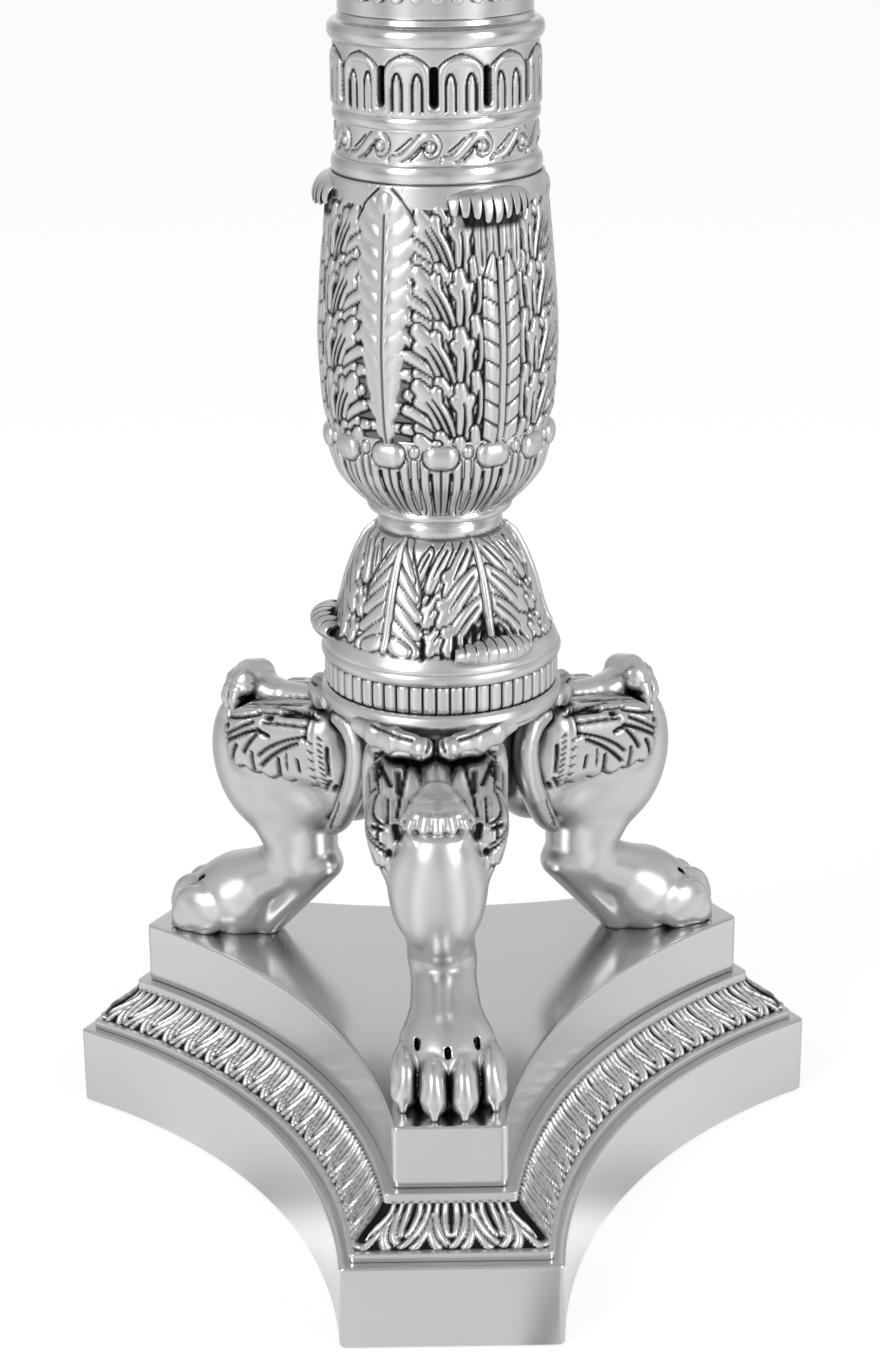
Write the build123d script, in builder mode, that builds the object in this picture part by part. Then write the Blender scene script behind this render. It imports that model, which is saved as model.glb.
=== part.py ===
"""Silver-plated candle lamp: a paw-footed candlestick with a spring-fed candle tube and a lifting shade.

Millimetres, +Z up, origin at the middle of the base where it rests. One leg points along -Y.
"""

import math
import os

from build123d import *

# Plan of the plinth: three cut corners joined by concave sides
CORNER_REACH = 100.0
CORNER_WIDTH = 53.6
HOLLOW_REACH = 55.5
LEG_ANGLES = {"front": -90.0, "right": 30.0, "left": 150.0}

# Plinth tiers, from the felt up
FELT_T = 1.5
FELT_SHOW = 0.6
COVER_T = 1.5
LOWER_H = 21.8
STEP_INSET = 2.6
STEP_H = 2.4
LEAF_FOOT_INSET = 4.2
LEAF_HEAD_INSET = 11.8
LEAF_H = 8.2
FILLET_H = 2.4
UPPER_INSET = 14.4
UPPER_H = 16.3
PLINTH_WALL = 4.0
PLINTH_WEB = 4.0
LEDGE = 1.5
EDGE_ROUND = 1.2

# Paw legs
LEG_H = 75.8
TOE_MARGIN = 2.0
HAUNCH_HALF_W = 16.2
PAW_HALF_W = 13.0
PAW_BOLT_SHARE = 0.73
LEAF_TIP_R = 5.0
LEAF_TIP_HALF_W = 8.4
RIB_HALF_W = 6.0
TOE_R = 4.3
CLAW_R = 2.0

# Hub, and the fluted collar that ties the legs together
HUB_R = 22.0
HUB_FLAT = 18.0
HUB_H = 38.0
COLLAR_R = 29.7
COLLAR_LIP = 0.9
COLLAR_H = 16.0
COLLAR_RING_H = 5.0
COLLAR_FLANGE_H = 3.0
COLLAR_FLOOR = 4.0
COLLAR_WALL = 4.0
FLUTE_COUNT = 66
FLUTE_W = 1.5
FLUTE_D = 0.9

# Leaf bell, neck, petal cup and vase
BELL_H = 30.5
BELL_FOOT_R = 29.0
BELL_HEAD_R = 17.2
BELL_CURL_R = 4.4
BELL_CURL_REACH = 33.5
NECK_R = 15.6
NECK_H = 6.5
NECK_FLANGE_R = 18.1
NECK_FLANGE_H = 2.6
CUP_H = 20.0
CUP_FOOT_R = 16.5
CUP_RIM_R = 27.6
PETAL_COUNT = 13
PETAL_R = 3.0
VASE_H = 62.5
VASE_FOOT_R = 27.2
VASE_BELLY_R = 29.6
VASE_HEAD_R = 26.4
VASE_CURL_R = 3.2
VASE_CURL_REACH = 30.2
CURL_LENGTH = 14.0
CURLED_LEAF_ANGLES = (-60.0, 60.0, 180.0)

# Bands at the head of the vase
VASE_RING_R = 25.4
VASE_RING_H = 4.8
WAVE_R = 24.0
WAVE_H = 8.0
MID_RING_R = 24.9
MID_RING_H = 3.2
ARCH_R = 24.9
ARCH_H = 15.4
ARCH_COUNT = 12
ARCH_SLOT_W = 2.2
ARCH_SLOT_D = 1.2
TORUS_R = 25.8
TORUS_H = 6.4
DRUM_R = 23.2
DRUM_H = 16.0
BAND_WALL = 6.0

# Column above the bands
FRINGE_WALL = 1.8
FRINGE_SKIRT = 11.5
FRINGE_FLANGE_H = 4.0
FRINGE_COUNT = 32
FRINGE_NOTCH_H = 3.2
SHAFT_FOOT_R = 21.0
SHAFT_HEAD_R = 17.0
SHAFT_H = 104.0
SHAFT_FLUTES = 16
SHAFT_FLUTE_R = 2.6
SHAFT_RING_R = 19.6
SHAFT_RING_H = 6.0
CAPITAL_FOOT_R = 16.0
CAPITAL_HEAD_R = 26.0
CAPITAL_H = 34.0
PAN_R = 40.0
PAN_H = 8.0
PAN_FLOOR = 2.4
SOCKET_R = 15.4
SOCKET_RIM_R = 18.5
SOCKET_RIM_H = 3.0
SOCKET_H = 34.0
SOCKET_FLOOR = 5.0
SHELL_WALL = 3.0

# Tie rod and fasteners
ROD_R = 4.0
ROD_NUT_R = 7.5
ROD_NUT_H = 6.0
ROD_WASHER_R = 9.5
ROD_WASHER_T = 1.6
ROD_END = 2.0
BOLT_R = 2.5
BOLT_HEAD_R = 4.2
BOLT_HEAD_H = 4.0
BOLT_WASHER_R = 5.5
BOLT_WASHER_T = 1.0
BOLT_GRIP = 12.0
LEG_SCREW_R = 2.0
LEG_SCREW_HEAD_R = 2.8
LEG_SCREW_HEAD_H = 2.4
LEG_SCREW_GRIP = 9.0
HOLE_GAP = 0.1
FIT_GAP = 0.3

# Spring-fed candle tube
TUBE_R = 13.0
TUBE_WALL = 1.0
TUBE_H = 105.0
FOOT_R = 11.0
FOOT_H = 18.0
FOOT_FLOOR = 1.5
CANDLE_R = 11.5
CANDLE_H = 60.0
CANDLE_TIP_R = 6.5
CANDLE_TIP_H = 9.0
WICK_R = 0.9
WICK_H = 8.0
FOLLOWER_T = 3.0
SPRING_R = 8.4
SPRING_WIRE_R = 0.8
SPRING_TURNS = 9
CAP_WALL = 1.2
CAP_SKIRT = 12.0
CAP_LIP = 2.0

# Shade and its carrier
CARRIER_COLLAR_H = 10.0
CARRIER_COLLAR_WALL = 2.5
CARRIER_DROP = 20.0
CARRIER_RISE = 66.0
CARRIER_WIRE_R = 1.5
GALLERY_R = 42.0
GALLERY_W = 5.0
GALLERY_T = 2.0
SHADE_FOOT_R = 108.0
SHADE_HEAD_R = 60.0
SHADE_H = 140.0
SHADE_WALL = 1.0
SHADE_DROP = 26.0
SHADE_WIRE_R = 1.6
SPOKE_R = 1.2
FITTER_T = 2.0
TRIM_W = 8.0
TRIM_T = 0.6

# Levels, each one standing on the last
RIM_Z = FELT_SHOW
COVER_TOP = FELT_T + COVER_T
LOWER_TOP = RIM_Z + LOWER_H
LEAF_FOOT_Z = LOWER_TOP + STEP_H
LEAF_HEAD_Z = LEAF_FOOT_Z + LEAF_H
MOULDING_TOP = LEAF_HEAD_Z + FILLET_H
PLINTH_TOP = MOULDING_TOP + UPPER_H
COLLAR_Z = PLINTH_TOP + LEG_H
HUB_Z = COLLAR_Z - HUB_H
BELL_Z = COLLAR_Z + COLLAR_H
NECK_Z = BELL_Z + BELL_H
CUP_Z = NECK_Z + NECK_H
VASE_Z = CUP_Z + CUP_H
VASE_RING_Z = VASE_Z + VASE_H
WAVE_Z = VASE_RING_Z + VASE_RING_H
MID_RING_Z = WAVE_Z + WAVE_H
ARCH_Z = MID_RING_Z + MID_RING_H
TORUS_Z = ARCH_Z + ARCH_H
DRUM_Z = TORUS_Z + TORUS_H
FRINGE_Z = DRUM_Z + DRUM_H
SHAFT_Z = FRINGE_Z + FRINGE_FLANGE_H
SHAFT_RING_Z = SHAFT_Z + SHAFT_H
CAPITAL_Z = SHAFT_RING_Z + SHAFT_RING_H
PAN_Z = CAPITAL_Z + CAPITAL_H
SOCKET_Z = PAN_Z + PAN_FLOOR
SOCKET_TOP = SOCKET_Z + SOCKET_H
TUBE_TOP = SOCKET_TOP + TUBE_H

ROD_HOLE_R = ROD_R + FIT_GAP
BAND_BORE_R = DRUM_R - BAND_WALL
UPPER_REACH = CORNER_REACH - UPPER_INSET


# Plinth plan

def side_circle():
    """Radius of a concave side, and its centre's distance from the axis."""
    end_along = CORNER_WIDTH / 2 * math.sin(math.radians(60)) + CORNER_REACH * math.cos(math.radians(60))
    half_chord_sq = CORNER_REACH**2 + (CORNER_WIDTH / 2) ** 2 - end_along**2
    rise = end_along - HOLLOW_REACH
    radius = (half_chord_sq + rise**2) / (2 * rise)
    return radius, HOLLOW_REACH + radius


def corner_half_width(inset):
    """Half the width of a corner's end face on the outline drawn in by inset."""
    radius, distance = side_circle()
    along, across = distance * math.cos(math.radians(60)), distance * math.sin(math.radians(60))
    reach = CORNER_REACH - inset
    return across - math.sqrt((radius + inset) ** 2 - (reach - along) ** 2)


def polar(radius, degrees):
    return (radius * math.cos(math.radians(degrees)), radius * math.sin(math.radians(degrees)))


def draw_outline(inset):
    """The plinth's plan drawn in by inset, as a face of the sketch in hand."""
    reach, half = CORNER_REACH - inset, corner_half_width(inset)
    span, lean = math.hypot(reach, half), math.degrees(math.atan2(half, reach))
    with BuildLine() as outline:
        for angle in LEG_ANGLES.values():
            Line(polar(span, angle - lean), polar(span, angle + lean))
            ThreePointArc(
                polar(span, angle + lean),
                polar(HOLLOW_REACH - inset, angle + 60),
                polar(span, angle + 120 - lean),
            )
    make_face(outline.edges())


def at_legs(radius):
    """The three places over the legs at that distance from the axis."""
    return Locations(*[polar(radius, angle) for angle in LEG_ANGLES.values()])


# Places on a leg

LEG_LENGTH = UPPER_REACH - TOE_MARGIN - HUB_FLAT


def leg_x(share):
    """A distance from the axis, by its share of the way from the hub's flat to the toes."""
    return HUB_FLAT + LEG_LENGTH * share


def leg_z(share):
    """A level on the leg, by its share of the way from the plinth to the collar."""
    return PLINTH_TOP + LEG_H * share


# Plinth

PAW_BOLT_R = leg_x(PAW_BOLT_SHARE)
BOLT_HOLE_R = BOLT_R + HOLE_GAP

with BuildPart() as base_felt:
    with BuildSketch():
        draw_outline(PLINTH_WALL - LEDGE + FIT_GAP)
    extrude(amount=FELT_T)

with BuildPart() as base_cover:
    with BuildSketch(Plane.XY.offset(FELT_T)):
        draw_outline(PLINTH_WALL - LEDGE + FIT_GAP)
    extrude(amount=COVER_T)

with BuildPart() as lower_plinth:
    with BuildSketch(Plane.XY.offset(RIM_Z)):
        draw_outline(0)
    extrude(amount=LOWER_H)
    fillet(lower_plinth.edges().filter_by(Axis.Z), EDGE_ROUND)
    fillet(lower_plinth.faces().sort_by(Axis.Z)[-1].edges(), EDGE_ROUND / 2)
    with BuildSketch(Plane.XY.offset(RIM_Z)):
        draw_outline(PLINTH_WALL)
    extrude(amount=LOWER_H - PLINTH_WEB, mode=Mode.SUBTRACT)
    with BuildSketch(Plane.XY.offset(RIM_Z)):
        draw_outline(PLINTH_WALL - LEDGE)
    extrude(amount=COVER_TOP - RIM_Z, mode=Mode.SUBTRACT)
    with BuildSketch(Plane.XY.offset(LOWER_TOP - PLINTH_WEB)):
        with at_legs(PAW_BOLT_R):
            Circle(BOLT_HOLE_R)
    extrude(amount=PLINTH_WEB, mode=Mode.SUBTRACT)

with BuildPart() as leaf_moulding:
    with BuildSketch(Plane.XY.offset(LOWER_TOP)):
        draw_outline(STEP_INSET)
    extrude(amount=STEP_H)
    for foot_z, foot_inset, head_z, head_inset in (
        (LEAF_FOOT_Z, LEAF_FOOT_INSET, LEAF_HEAD_Z, LEAF_HEAD_INSET),
        (LEAF_HEAD_Z, LEAF_HEAD_INSET, MOULDING_TOP, UPPER_INSET),
    ):
        with BuildSketch(Plane.XY.offset(foot_z)):
            draw_outline(foot_inset)
        with BuildSketch(Plane.XY.offset(head_z)):
            draw_outline(head_inset)
        loft(ruled=True)
    with BuildSketch(Plane.XY.offset(LOWER_TOP)):
        draw_outline(UPPER_INSET + PLINTH_WALL)
    extrude(amount=MOULDING_TOP - LOWER_TOP, mode=Mode.SUBTRACT)

with BuildPart() as upper_plinth:
    with BuildSketch(Plane.XY.offset(MOULDING_TOP)):
        draw_outline(UPPER_INSET)
    extrude(amount=UPPER_H)
    fillet(upper_plinth.edges().filter_by(Axis.Z), EDGE_ROUND)
    fillet(upper_plinth.faces().sort_by(Axis.Z)[-1].edges(), EDGE_ROUND / 2)
    with BuildSketch(Plane.XY.offset(MOULDING_TOP)):
        draw_outline(UPPER_INSET + PLINTH_WALL)
    extrude(amount=UPPER_H - PLINTH_WEB, mode=Mode.SUBTRACT)
    with BuildSketch(Plane.XY.offset(PLINTH_TOP - PLINTH_WEB)):
        with at_legs(PAW_BOLT_R):
            Circle(BOLT_HOLE_R)
    extrude(amount=PLINTH_WEB, mode=Mode.SUBTRACT)

BOLT_SEAT = LOWER_TOP - PLINTH_WEB
BOLT_TOP = PLINTH_TOP + BOLT_GRIP

with BuildPart() as paw_bolt_washers:
    with BuildSketch(Plane.XY.offset(BOLT_SEAT - BOLT_WASHER_T)):
        with at_legs(PAW_BOLT_R):
            Circle(BOLT_WASHER_R)
            Circle(BOLT_HOLE_R, mode=Mode.SUBTRACT)
    extrude(amount=BOLT_WASHER_T)

with BuildPart() as paw_bolts:
    with BuildSketch(Plane.XY.offset(BOLT_SEAT - BOLT_WASHER_T - BOLT_HEAD_H)):
        with at_legs(PAW_BOLT_R):
            RegularPolygon(BOLT_HEAD_R, 6)
    extrude(amount=BOLT_HEAD_H)
    with BuildSketch(Plane.XY.offset(BOLT_SEAT - BOLT_WASHER_T)):
        with at_legs(PAW_BOLT_R):
            Circle(BOLT_R)
    extrude(amount=BOLT_TOP - BOLT_SEAT + BOLT_WASHER_T)


# Paw leg, modelled along +X and turned into its three places

# Each section of the haunch and foot: place along the leg, lowest and highest level, half width
HAUNCH = (
    (0.00, 0.50, 0.90, 0.82),
    (0.18, 0.46, 0.95, 0.97),
    (0.42, 0.42, 0.955, 1.00),
    (0.62, 0.45, 0.93, 0.88),
    (0.76, 0.52, 0.86, 0.66),
    (0.825, 0.59, 0.78, 0.38),
    (0.843, 0.64, 0.73, 0.16),
)
FOOT = (
    (0.205, 0.27, 0.38, 0.36),
    (0.28, 0.18, 0.40, 0.52),
    (0.42, 0.06, 0.37, 0.64),
    (0.58, -0.04, 0.305, 0.78),
    (0.74, -0.06, 0.265, 0.95),
    (0.87, -0.06, 0.20, 1.00),
    (0.935, -0.05, 0.13, 0.86),
)
# Each section of the shank: level, nearest and farthest place along the leg, half width
SHANK = (
    (0.62, 0.26, 0.76, 0.90),
    (0.48, 0.23, 0.70, 0.78),
    (0.39, 0.21, 0.60, 0.62),
    (0.31, 0.20, 0.545, 0.50),
    (0.22, 0.24, 0.55, 0.50),
)
TOE_SPREAD = ((-0.73, 0.895), (-0.25, 0.935), (0.25, 0.935), (0.73, 0.895))


with BuildPart() as haunch:
    for along, low, high, wide in HAUNCH:
        with BuildSketch(Plane.YZ.offset(leg_x(along))):
            with Locations((0, leg_z((low + high) / 2))):
                Ellipse(HAUNCH_HALF_W * wide, LEG_H * (high - low) / 2)
    loft()

with BuildPart() as foot:
    for along, low, high, wide in FOOT:
        with BuildSketch(Plane.YZ.offset(leg_x(along))):
            with Locations((0, leg_z((low + high) / 2))):
                Ellipse(PAW_HALF_W * wide, LEG_H * (high - low) / 2)
    loft()
    for side, along in TOE_SPREAD:
        with Locations((leg_x(along), side * PAW_HALF_W, PLINTH_TOP + 0.85 * TOE_R)):
            Sphere(TOE_R)
        with Locations((leg_x(along) + 0.9 * TOE_R, side * PAW_HALF_W, PLINTH_TOP + 0.6 * CLAW_R)):
            Sphere(CLAW_R)

with BuildPart() as shank:
    for level, near, far, wide in SHANK:
        with BuildSketch(Plane.XY.offset(leg_z(level))):
            with Locations((leg_x((near + far) / 2), 0)):
                Ellipse(LEG_LENGTH * (far - near) / 2, HAUNCH_HALF_W * wide)
    loft()

TIP_X, TIP_Z = leg_x(0.665), leg_z(0.925)
LEG_SCREW_X = HUB_FLAT + 2 * LEG_SCREW_R

with BuildPart() as leaf_tip:
    with BuildSketch(Plane.XZ):
        with Locations((TIP_X, TIP_Z)):
            Circle(LEAF_TIP_R)
    extrude(amount=LEAF_TIP_HALF_W, both=True)
    fillet(leaf_tip.edges().filter_by(GeomType.CIRCLE), LEAF_TIP_R / 3)

with BuildPart() as paw_leg:
    add(foot.part)
    add(shank.part)
    add(haunch.part)
    with BuildSketch(Plane.XZ):
        with BuildLine():
            Polyline(
                (leg_x(0), leg_z(0.85)),
                (leg_x(0), COLLAR_Z),
                (leg_x(0.19), COLLAR_Z),
                (leg_x(0.29), leg_z(0.975)),
                (leg_x(0.50), leg_z(0.945)),
                (TIP_X, TIP_Z + LEAF_TIP_R / 2),
                (TIP_X, leg_z(0.85)),
                close=True,
            )
        make_face()
    extrude(amount=RIB_HALF_W, both=True)
    add(leaf_tip.part)
    with BuildSketch(Plane.XZ):
        with BuildLine():
            ThreePointArc((leg_x(0.20), leg_z(0.89)), (leg_x(0.035), leg_z(0.67)), (leg_x(0.21), leg_z(0.38)))
            ThreePointArc((leg_x(0.21), leg_z(0.38)), (leg_x(0.125), leg_z(0.67)), (leg_x(0.20), leg_z(0.89)))
        make_face()
    extrude(amount=HAUNCH_HALF_W, both=True)
    split(bisect_by=Plane.XY.offset(PLINTH_TOP), keep=Keep.TOP)
    with BuildSketch(Plane.XY.offset(PLINTH_TOP)):
        with Locations((PAW_BOLT_R, 0)):
            Circle(BOLT_HOLE_R)
    extrude(amount=BOLT_GRIP + FIT_GAP, mode=Mode.SUBTRACT)
    with BuildSketch(Plane.XY.offset(COLLAR_Z)):
        with Locations((LEG_SCREW_X, 0)):
            Circle(LEG_SCREW_R + HOLE_GAP)
    extrude(amount=-LEG_SCREW_GRIP - FIT_GAP, mode=Mode.SUBTRACT)

legs = {}
for place, angle in LEG_ANGLES.items():
    with BuildPart() as turned_leg:
        with Locations(Rotation(0, 0, angle)):
            add(paw_leg.part)
    legs["leg_" + place] = turned_leg


# Hub and collar

with BuildPart() as leg_hub:
    with BuildSketch(Plane.XY.offset(HUB_Z)):
        Circle(HUB_R)
        RegularPolygon(HUB_FLAT, 3, major_radius=False, rotation=90, mode=Mode.INTERSECT)
    extrude(amount=HUB_H)
    chamfer(leg_hub.faces().sort_by(Axis.Z)[0].edges(), HUB_R / 6)
    with BuildSketch(Plane.XY.offset(HUB_Z)):
        Circle(ROD_HOLE_R)
    extrude(amount=HUB_H, mode=Mode.SUBTRACT)


def around(radius, level, count, turn=-90.0):
    """Planes facing outward, evenly round the axis at that radius and level."""
    places = []
    for k in range(count):
        angle = turn + 360 * k / count
        x, y = polar(radius, angle)
        out = (*polar(1, angle), 0)
        places.append(Plane(origin=(x, y, level), x_dir=(*polar(1, angle + 90), 0), z_dir=out))
    return places


COLLAR_CAVITY_R = COLLAR_R - COLLAR_WALL
FLANGE_Z = BELL_Z - COLLAR_FLANGE_H
FRIEZE_Z = COLLAR_Z + COLLAR_RING_H
FLUTE_H = FLANGE_Z - FRIEZE_Z - 2 * FLUTE_D

with BuildPart() as fluted_collar:
    with BuildSketch(Plane.XZ):
        with BuildLine():
            Polyline((0, COLLAR_Z), (COLLAR_R, COLLAR_Z))
            ThreePointArc(
                (COLLAR_R, COLLAR_Z),
                (COLLAR_R + COLLAR_LIP, (COLLAR_Z + FRIEZE_Z) / 2),
                (COLLAR_R, FRIEZE_Z),
            )
            Polyline(
                (COLLAR_R, FRIEZE_Z),
                (COLLAR_R, FLANGE_Z),
                (COLLAR_R + COLLAR_LIP, FLANGE_Z),
                (COLLAR_R + COLLAR_LIP, BELL_Z),
                (0, BELL_Z),
                (0, COLLAR_Z),
            )
        make_face()
    revolve(axis=Axis.Z)
    with BuildSketch(*around(COLLAR_R, (FRIEZE_Z + FLANGE_Z) / 2, FLUTE_COUNT)):
        Rectangle(FLUTE_W, FLUTE_H)
    extrude(amount=-FLUTE_D, mode=Mode.SUBTRACT)
    with BuildSketch(Plane.XY.offset(COLLAR_Z + COLLAR_FLOOR)):
        Circle(COLLAR_CAVITY_R)
    extrude(amount=COLLAR_H, mode=Mode.SUBTRACT)
    with BuildSketch(Plane.XY.offset(COLLAR_Z)):
        Circle(ROD_HOLE_R)
        with at_legs(LEG_SCREW_X):
            Circle(LEG_SCREW_R + HOLE_GAP)
    extrude(amount=COLLAR_FLOOR, mode=Mode.SUBTRACT)

with BuildPart() as leg_screws:
    with BuildSketch(Plane.XY.offset(COLLAR_Z - LEG_SCREW_GRIP)):
        with at_legs(LEG_SCREW_X):
            Circle(LEG_SCREW_R)
    extrude(amount=LEG_SCREW_GRIP + COLLAR_FLOOR)
    with BuildSketch(Plane.XY.offset(COLLAR_Z + COLLAR_FLOOR)):
        with at_legs(LEG_SCREW_X):
            Circle(LEG_SCREW_HEAD_R)
    extrude(amount=LEG_SCREW_HEAD_H)


# Leaf bell, neck, petal cup and vase

# Each row: share of the height, share of the way from the head's radius out to the foot's
BELL_CURVE = ((0.0, 1.0), (0.07, 0.97), (0.28, 0.83), (0.54, 0.64), (0.80, 0.42), (1.0, 0.0))
# Each row: share of the height, share of the way from the foot's radius out to the rim's
CUP_CURVE = ((0.0, 0.0), (0.26, 0.47), (0.60, 0.85), (1.0, 1.0))
# Each row: share of the height, share of the way from the head's radius out to the belly's
VASE_CURVE = ((0.0, 0.30), (0.20, 0.92), (0.36, 1.0), (0.50, 0.90), (0.70, 0.60), (0.90, 0.20), (1.0, 0.0))


def curve_points(table, base, height, near, far, trim=0.0):
    """Points of a turned profile; trim draws it in toward the axis."""
    return [(near + (far - near) * wide - trim, base + height * up) for up, wide in table]


# Curled leaf tips, lying across the direction they face
leaf_rolls = {}
for home, radius, reach, level in (
    ("bell", BELL_CURL_R, BELL_CURL_REACH, BELL_Z + 1.6 * BELL_CURL_R),
    ("vase", VASE_CURL_R, VASE_CURL_REACH, VASE_RING_Z - 1.5 * VASE_CURL_R),
):
    with BuildPart() as leaf_roll:
        with Locations((reach - radius, 0, level)):
            Cylinder(radius, CURL_LENGTH, rotation=(90, 0, 0))
        fillet(leaf_roll.edges().filter_by(GeomType.CIRCLE), radius / 2)
    leaf_rolls[home] = leaf_roll.part

bell_skin = curve_points(BELL_CURVE, BELL_Z, BELL_H, BELL_HEAD_R, BELL_FOOT_R)
bell_lining = curve_points(BELL_CURVE, BELL_Z, BELL_H - SHELL_WALL, BELL_HEAD_R, BELL_FOOT_R, SHELL_WALL)

with BuildPart() as leaf_bell:
    with BuildSketch(Plane.XZ):
        with BuildLine():
            Spline(*bell_skin)
            Polyline(bell_skin[-1], (ROD_HOLE_R, NECK_Z), (ROD_HOLE_R, bell_lining[-1][1]), bell_lining[-1])
            Spline(*reversed(bell_lining))
            Line(bell_lining[0], bell_skin[0])
        make_face()
    revolve(axis=Axis.Z)
    for angle in CURLED_LEAF_ANGLES:
        with Locations(Rotation(0, 0, angle)):
            add(leaf_rolls["bell"])
    with BuildSketch(Plane.XZ):
        with BuildLine():
            Spline(*bell_lining)
            Polyline(bell_lining[-1], (0, bell_lining[-1][1]), (0, BELL_Z), bell_lining[0])
        make_face()
    revolve(axis=Axis.Z, mode=Mode.SUBTRACT)

with BuildPart() as neck_ring:
    with BuildSketch(Plane.XZ):
        with BuildLine():
            Polyline(
                (ROD_HOLE_R, NECK_Z),
                (NECK_R, NECK_Z),
                (NECK_R, CUP_Z - NECK_FLANGE_H),
                (NECK_FLANGE_R, CUP_Z - NECK_FLANGE_H),
                (NECK_FLANGE_R, CUP_Z),
                (ROD_HOLE_R, CUP_Z),
                close=True,
            )
        make_face()
    revolve(axis=Axis.Z)
    fillet(neck_ring.edges().filter_by(GeomType.CIRCLE).group_by(SortBy.RADIUS)[-1], NECK_FLANGE_H / 3)

cup_skin = curve_points(CUP_CURVE, CUP_Z, CUP_H, CUP_FOOT_R, CUP_RIM_R)

with BuildPart() as petal_cup:
    with BuildSketch(Plane.XZ):
        with BuildLine():
            Spline(*cup_skin)
            Polyline(cup_skin[-1], (ROD_HOLE_R, VASE_Z), (ROD_HOLE_R, CUP_Z), cup_skin[0])
        make_face()
    revolve(axis=Axis.Z)
    with PolarLocations(CUP_RIM_R - PETAL_R / 3, PETAL_COUNT, start_angle=-90):
        with Locations((0, 0, VASE_Z - 1.2 * PETAL_R)):
            Sphere(PETAL_R)

vase_skin = curve_points(VASE_CURVE, VASE_Z, VASE_H, VASE_HEAD_R, VASE_BELLY_R)
vase_lining = curve_points(
    VASE_CURVE, VASE_Z + SHELL_WALL, VASE_H - 2 * SHELL_WALL, VASE_HEAD_R, VASE_BELLY_R, SHELL_WALL
)

with BuildPart() as vase_body:
    with BuildSketch(Plane.XZ):
        with BuildLine():
            Spline(*vase_skin)
            Polyline(vase_skin[-1], (0, VASE_RING_Z), (0, VASE_Z), vase_skin[0])
        make_face()
    revolve(axis=Axis.Z)
    for angle in CURLED_LEAF_ANGLES:
        with Locations(Rotation(0, 0, angle)):
            add(leaf_rolls["vase"])
    with BuildSketch(Plane.XZ):
        with BuildLine():
            Spline(*vase_lining)
            Polyline(
                vase_lining[-1],
                (ROD_HOLE_R, vase_lining[-1][1]),
                (ROD_HOLE_R, VASE_RING_Z),
                (0, VASE_RING_Z),
                (0, VASE_Z),
                (ROD_HOLE_R, VASE_Z),
                (ROD_HOLE_R, vase_lining[0][1]),
                vase_lining[0],
            )
        make_face()
    revolve(axis=Axis.Z, mode=Mode.SUBTRACT)


# Bands at the head of the vase

def hoop(radius, level, height, bulge=0.0):
    """Draws half the section of a band, its outer face swelling by bulge."""
    with BuildLine() as section:
        if bulge:
            ThreePointArc(
                (radius - bulge, level),
                (radius, level + height / 2),
                (radius - bulge, level + height),
            )
        else:
            Line((radius, level), (radius, level + height))
        Polyline(
            (radius - bulge, level + height),
            (BAND_BORE_R, level + height),
            (BAND_BORE_R, level),
            (radius - bulge, level),
        )
    make_face(section.edges())


with BuildPart() as vase_ring:
    with BuildSketch(Plane.XZ):
        hoop(VASE_RING_R, VASE_RING_Z, VASE_RING_H, VASE_RING_H / 5)
    revolve(axis=Axis.Z)

with BuildPart() as wave_frieze:
    with BuildSketch(Plane.XZ):
        hoop(WAVE_R, WAVE_Z, WAVE_H)
    revolve(axis=Axis.Z)

with BuildPart() as frieze_ring:
    with BuildSketch(Plane.XZ):
        hoop(MID_RING_R, MID_RING_Z, MID_RING_H, MID_RING_H / 5)
    revolve(axis=Axis.Z)

with BuildPart() as arch_frieze:
    with BuildSketch(Plane.XZ):
        hoop(ARCH_R, ARCH_Z, ARCH_H)
    revolve(axis=Axis.Z)
    with BuildSketch(*around(ARCH_R, ARCH_Z + ARCH_H / 2, ARCH_COUNT)):
        SlotOverall(ARCH_H - 2 * ARCH_SLOT_W, ARCH_SLOT_W, rotation=90)
    extrude(amount=-ARCH_SLOT_D, mode=Mode.SUBTRACT)

with BuildPart() as torus_ring:
    with BuildSketch(Plane.XZ):
        hoop(TORUS_R, TORUS_Z, TORUS_H, TORUS_H / 3)
    revolve(axis=Axis.Z)

with BuildPart() as column_drum:
    with BuildSketch(Plane.XZ):
        hoop(DRUM_R, DRUM_Z, DRUM_H)
    revolve(axis=Axis.Z)


# Column

SKIRT_R = DRUM_R + FIT_GAP
FRINGE_R = SKIRT_R + FRINGE_WALL
FRINGE_FOOT_Z = FRINGE_Z - FRINGE_SKIRT
FRINGE_PITCH = 2 * math.pi * FRINGE_R / FRINGE_COUNT

with BuildPart() as leaf_fringe:
    with BuildSketch(Plane.XY.offset(FRINGE_FOOT_Z)):
        Circle(FRINGE_R)
        Circle(SKIRT_R, mode=Mode.SUBTRACT)
    extrude(amount=FRINGE_SKIRT)
    with BuildSketch(Plane.XY.offset(FRINGE_Z)):
        Circle(FRINGE_R)
        Circle(BAND_BORE_R, mode=Mode.SUBTRACT)
    extrude(amount=FRINGE_FLANGE_H)
    fillet(leaf_fringe.faces().sort_by(Axis.Z)[-1].outer_wire().edges(), FRINGE_FLANGE_H / 4)
    with BuildSketch(*around(FRINGE_R + FRINGE_WALL, FRINGE_FOOT_Z, FRINGE_COUNT)):
        with BuildLine():
            Polyline((-FRINGE_PITCH / 2.2, 0), (0, FRINGE_NOTCH_H), (FRINGE_PITCH / 2.2, 0), close=True)
        make_face()
    extrude(amount=-3 * FRINGE_WALL, mode=Mode.SUBTRACT)

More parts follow.
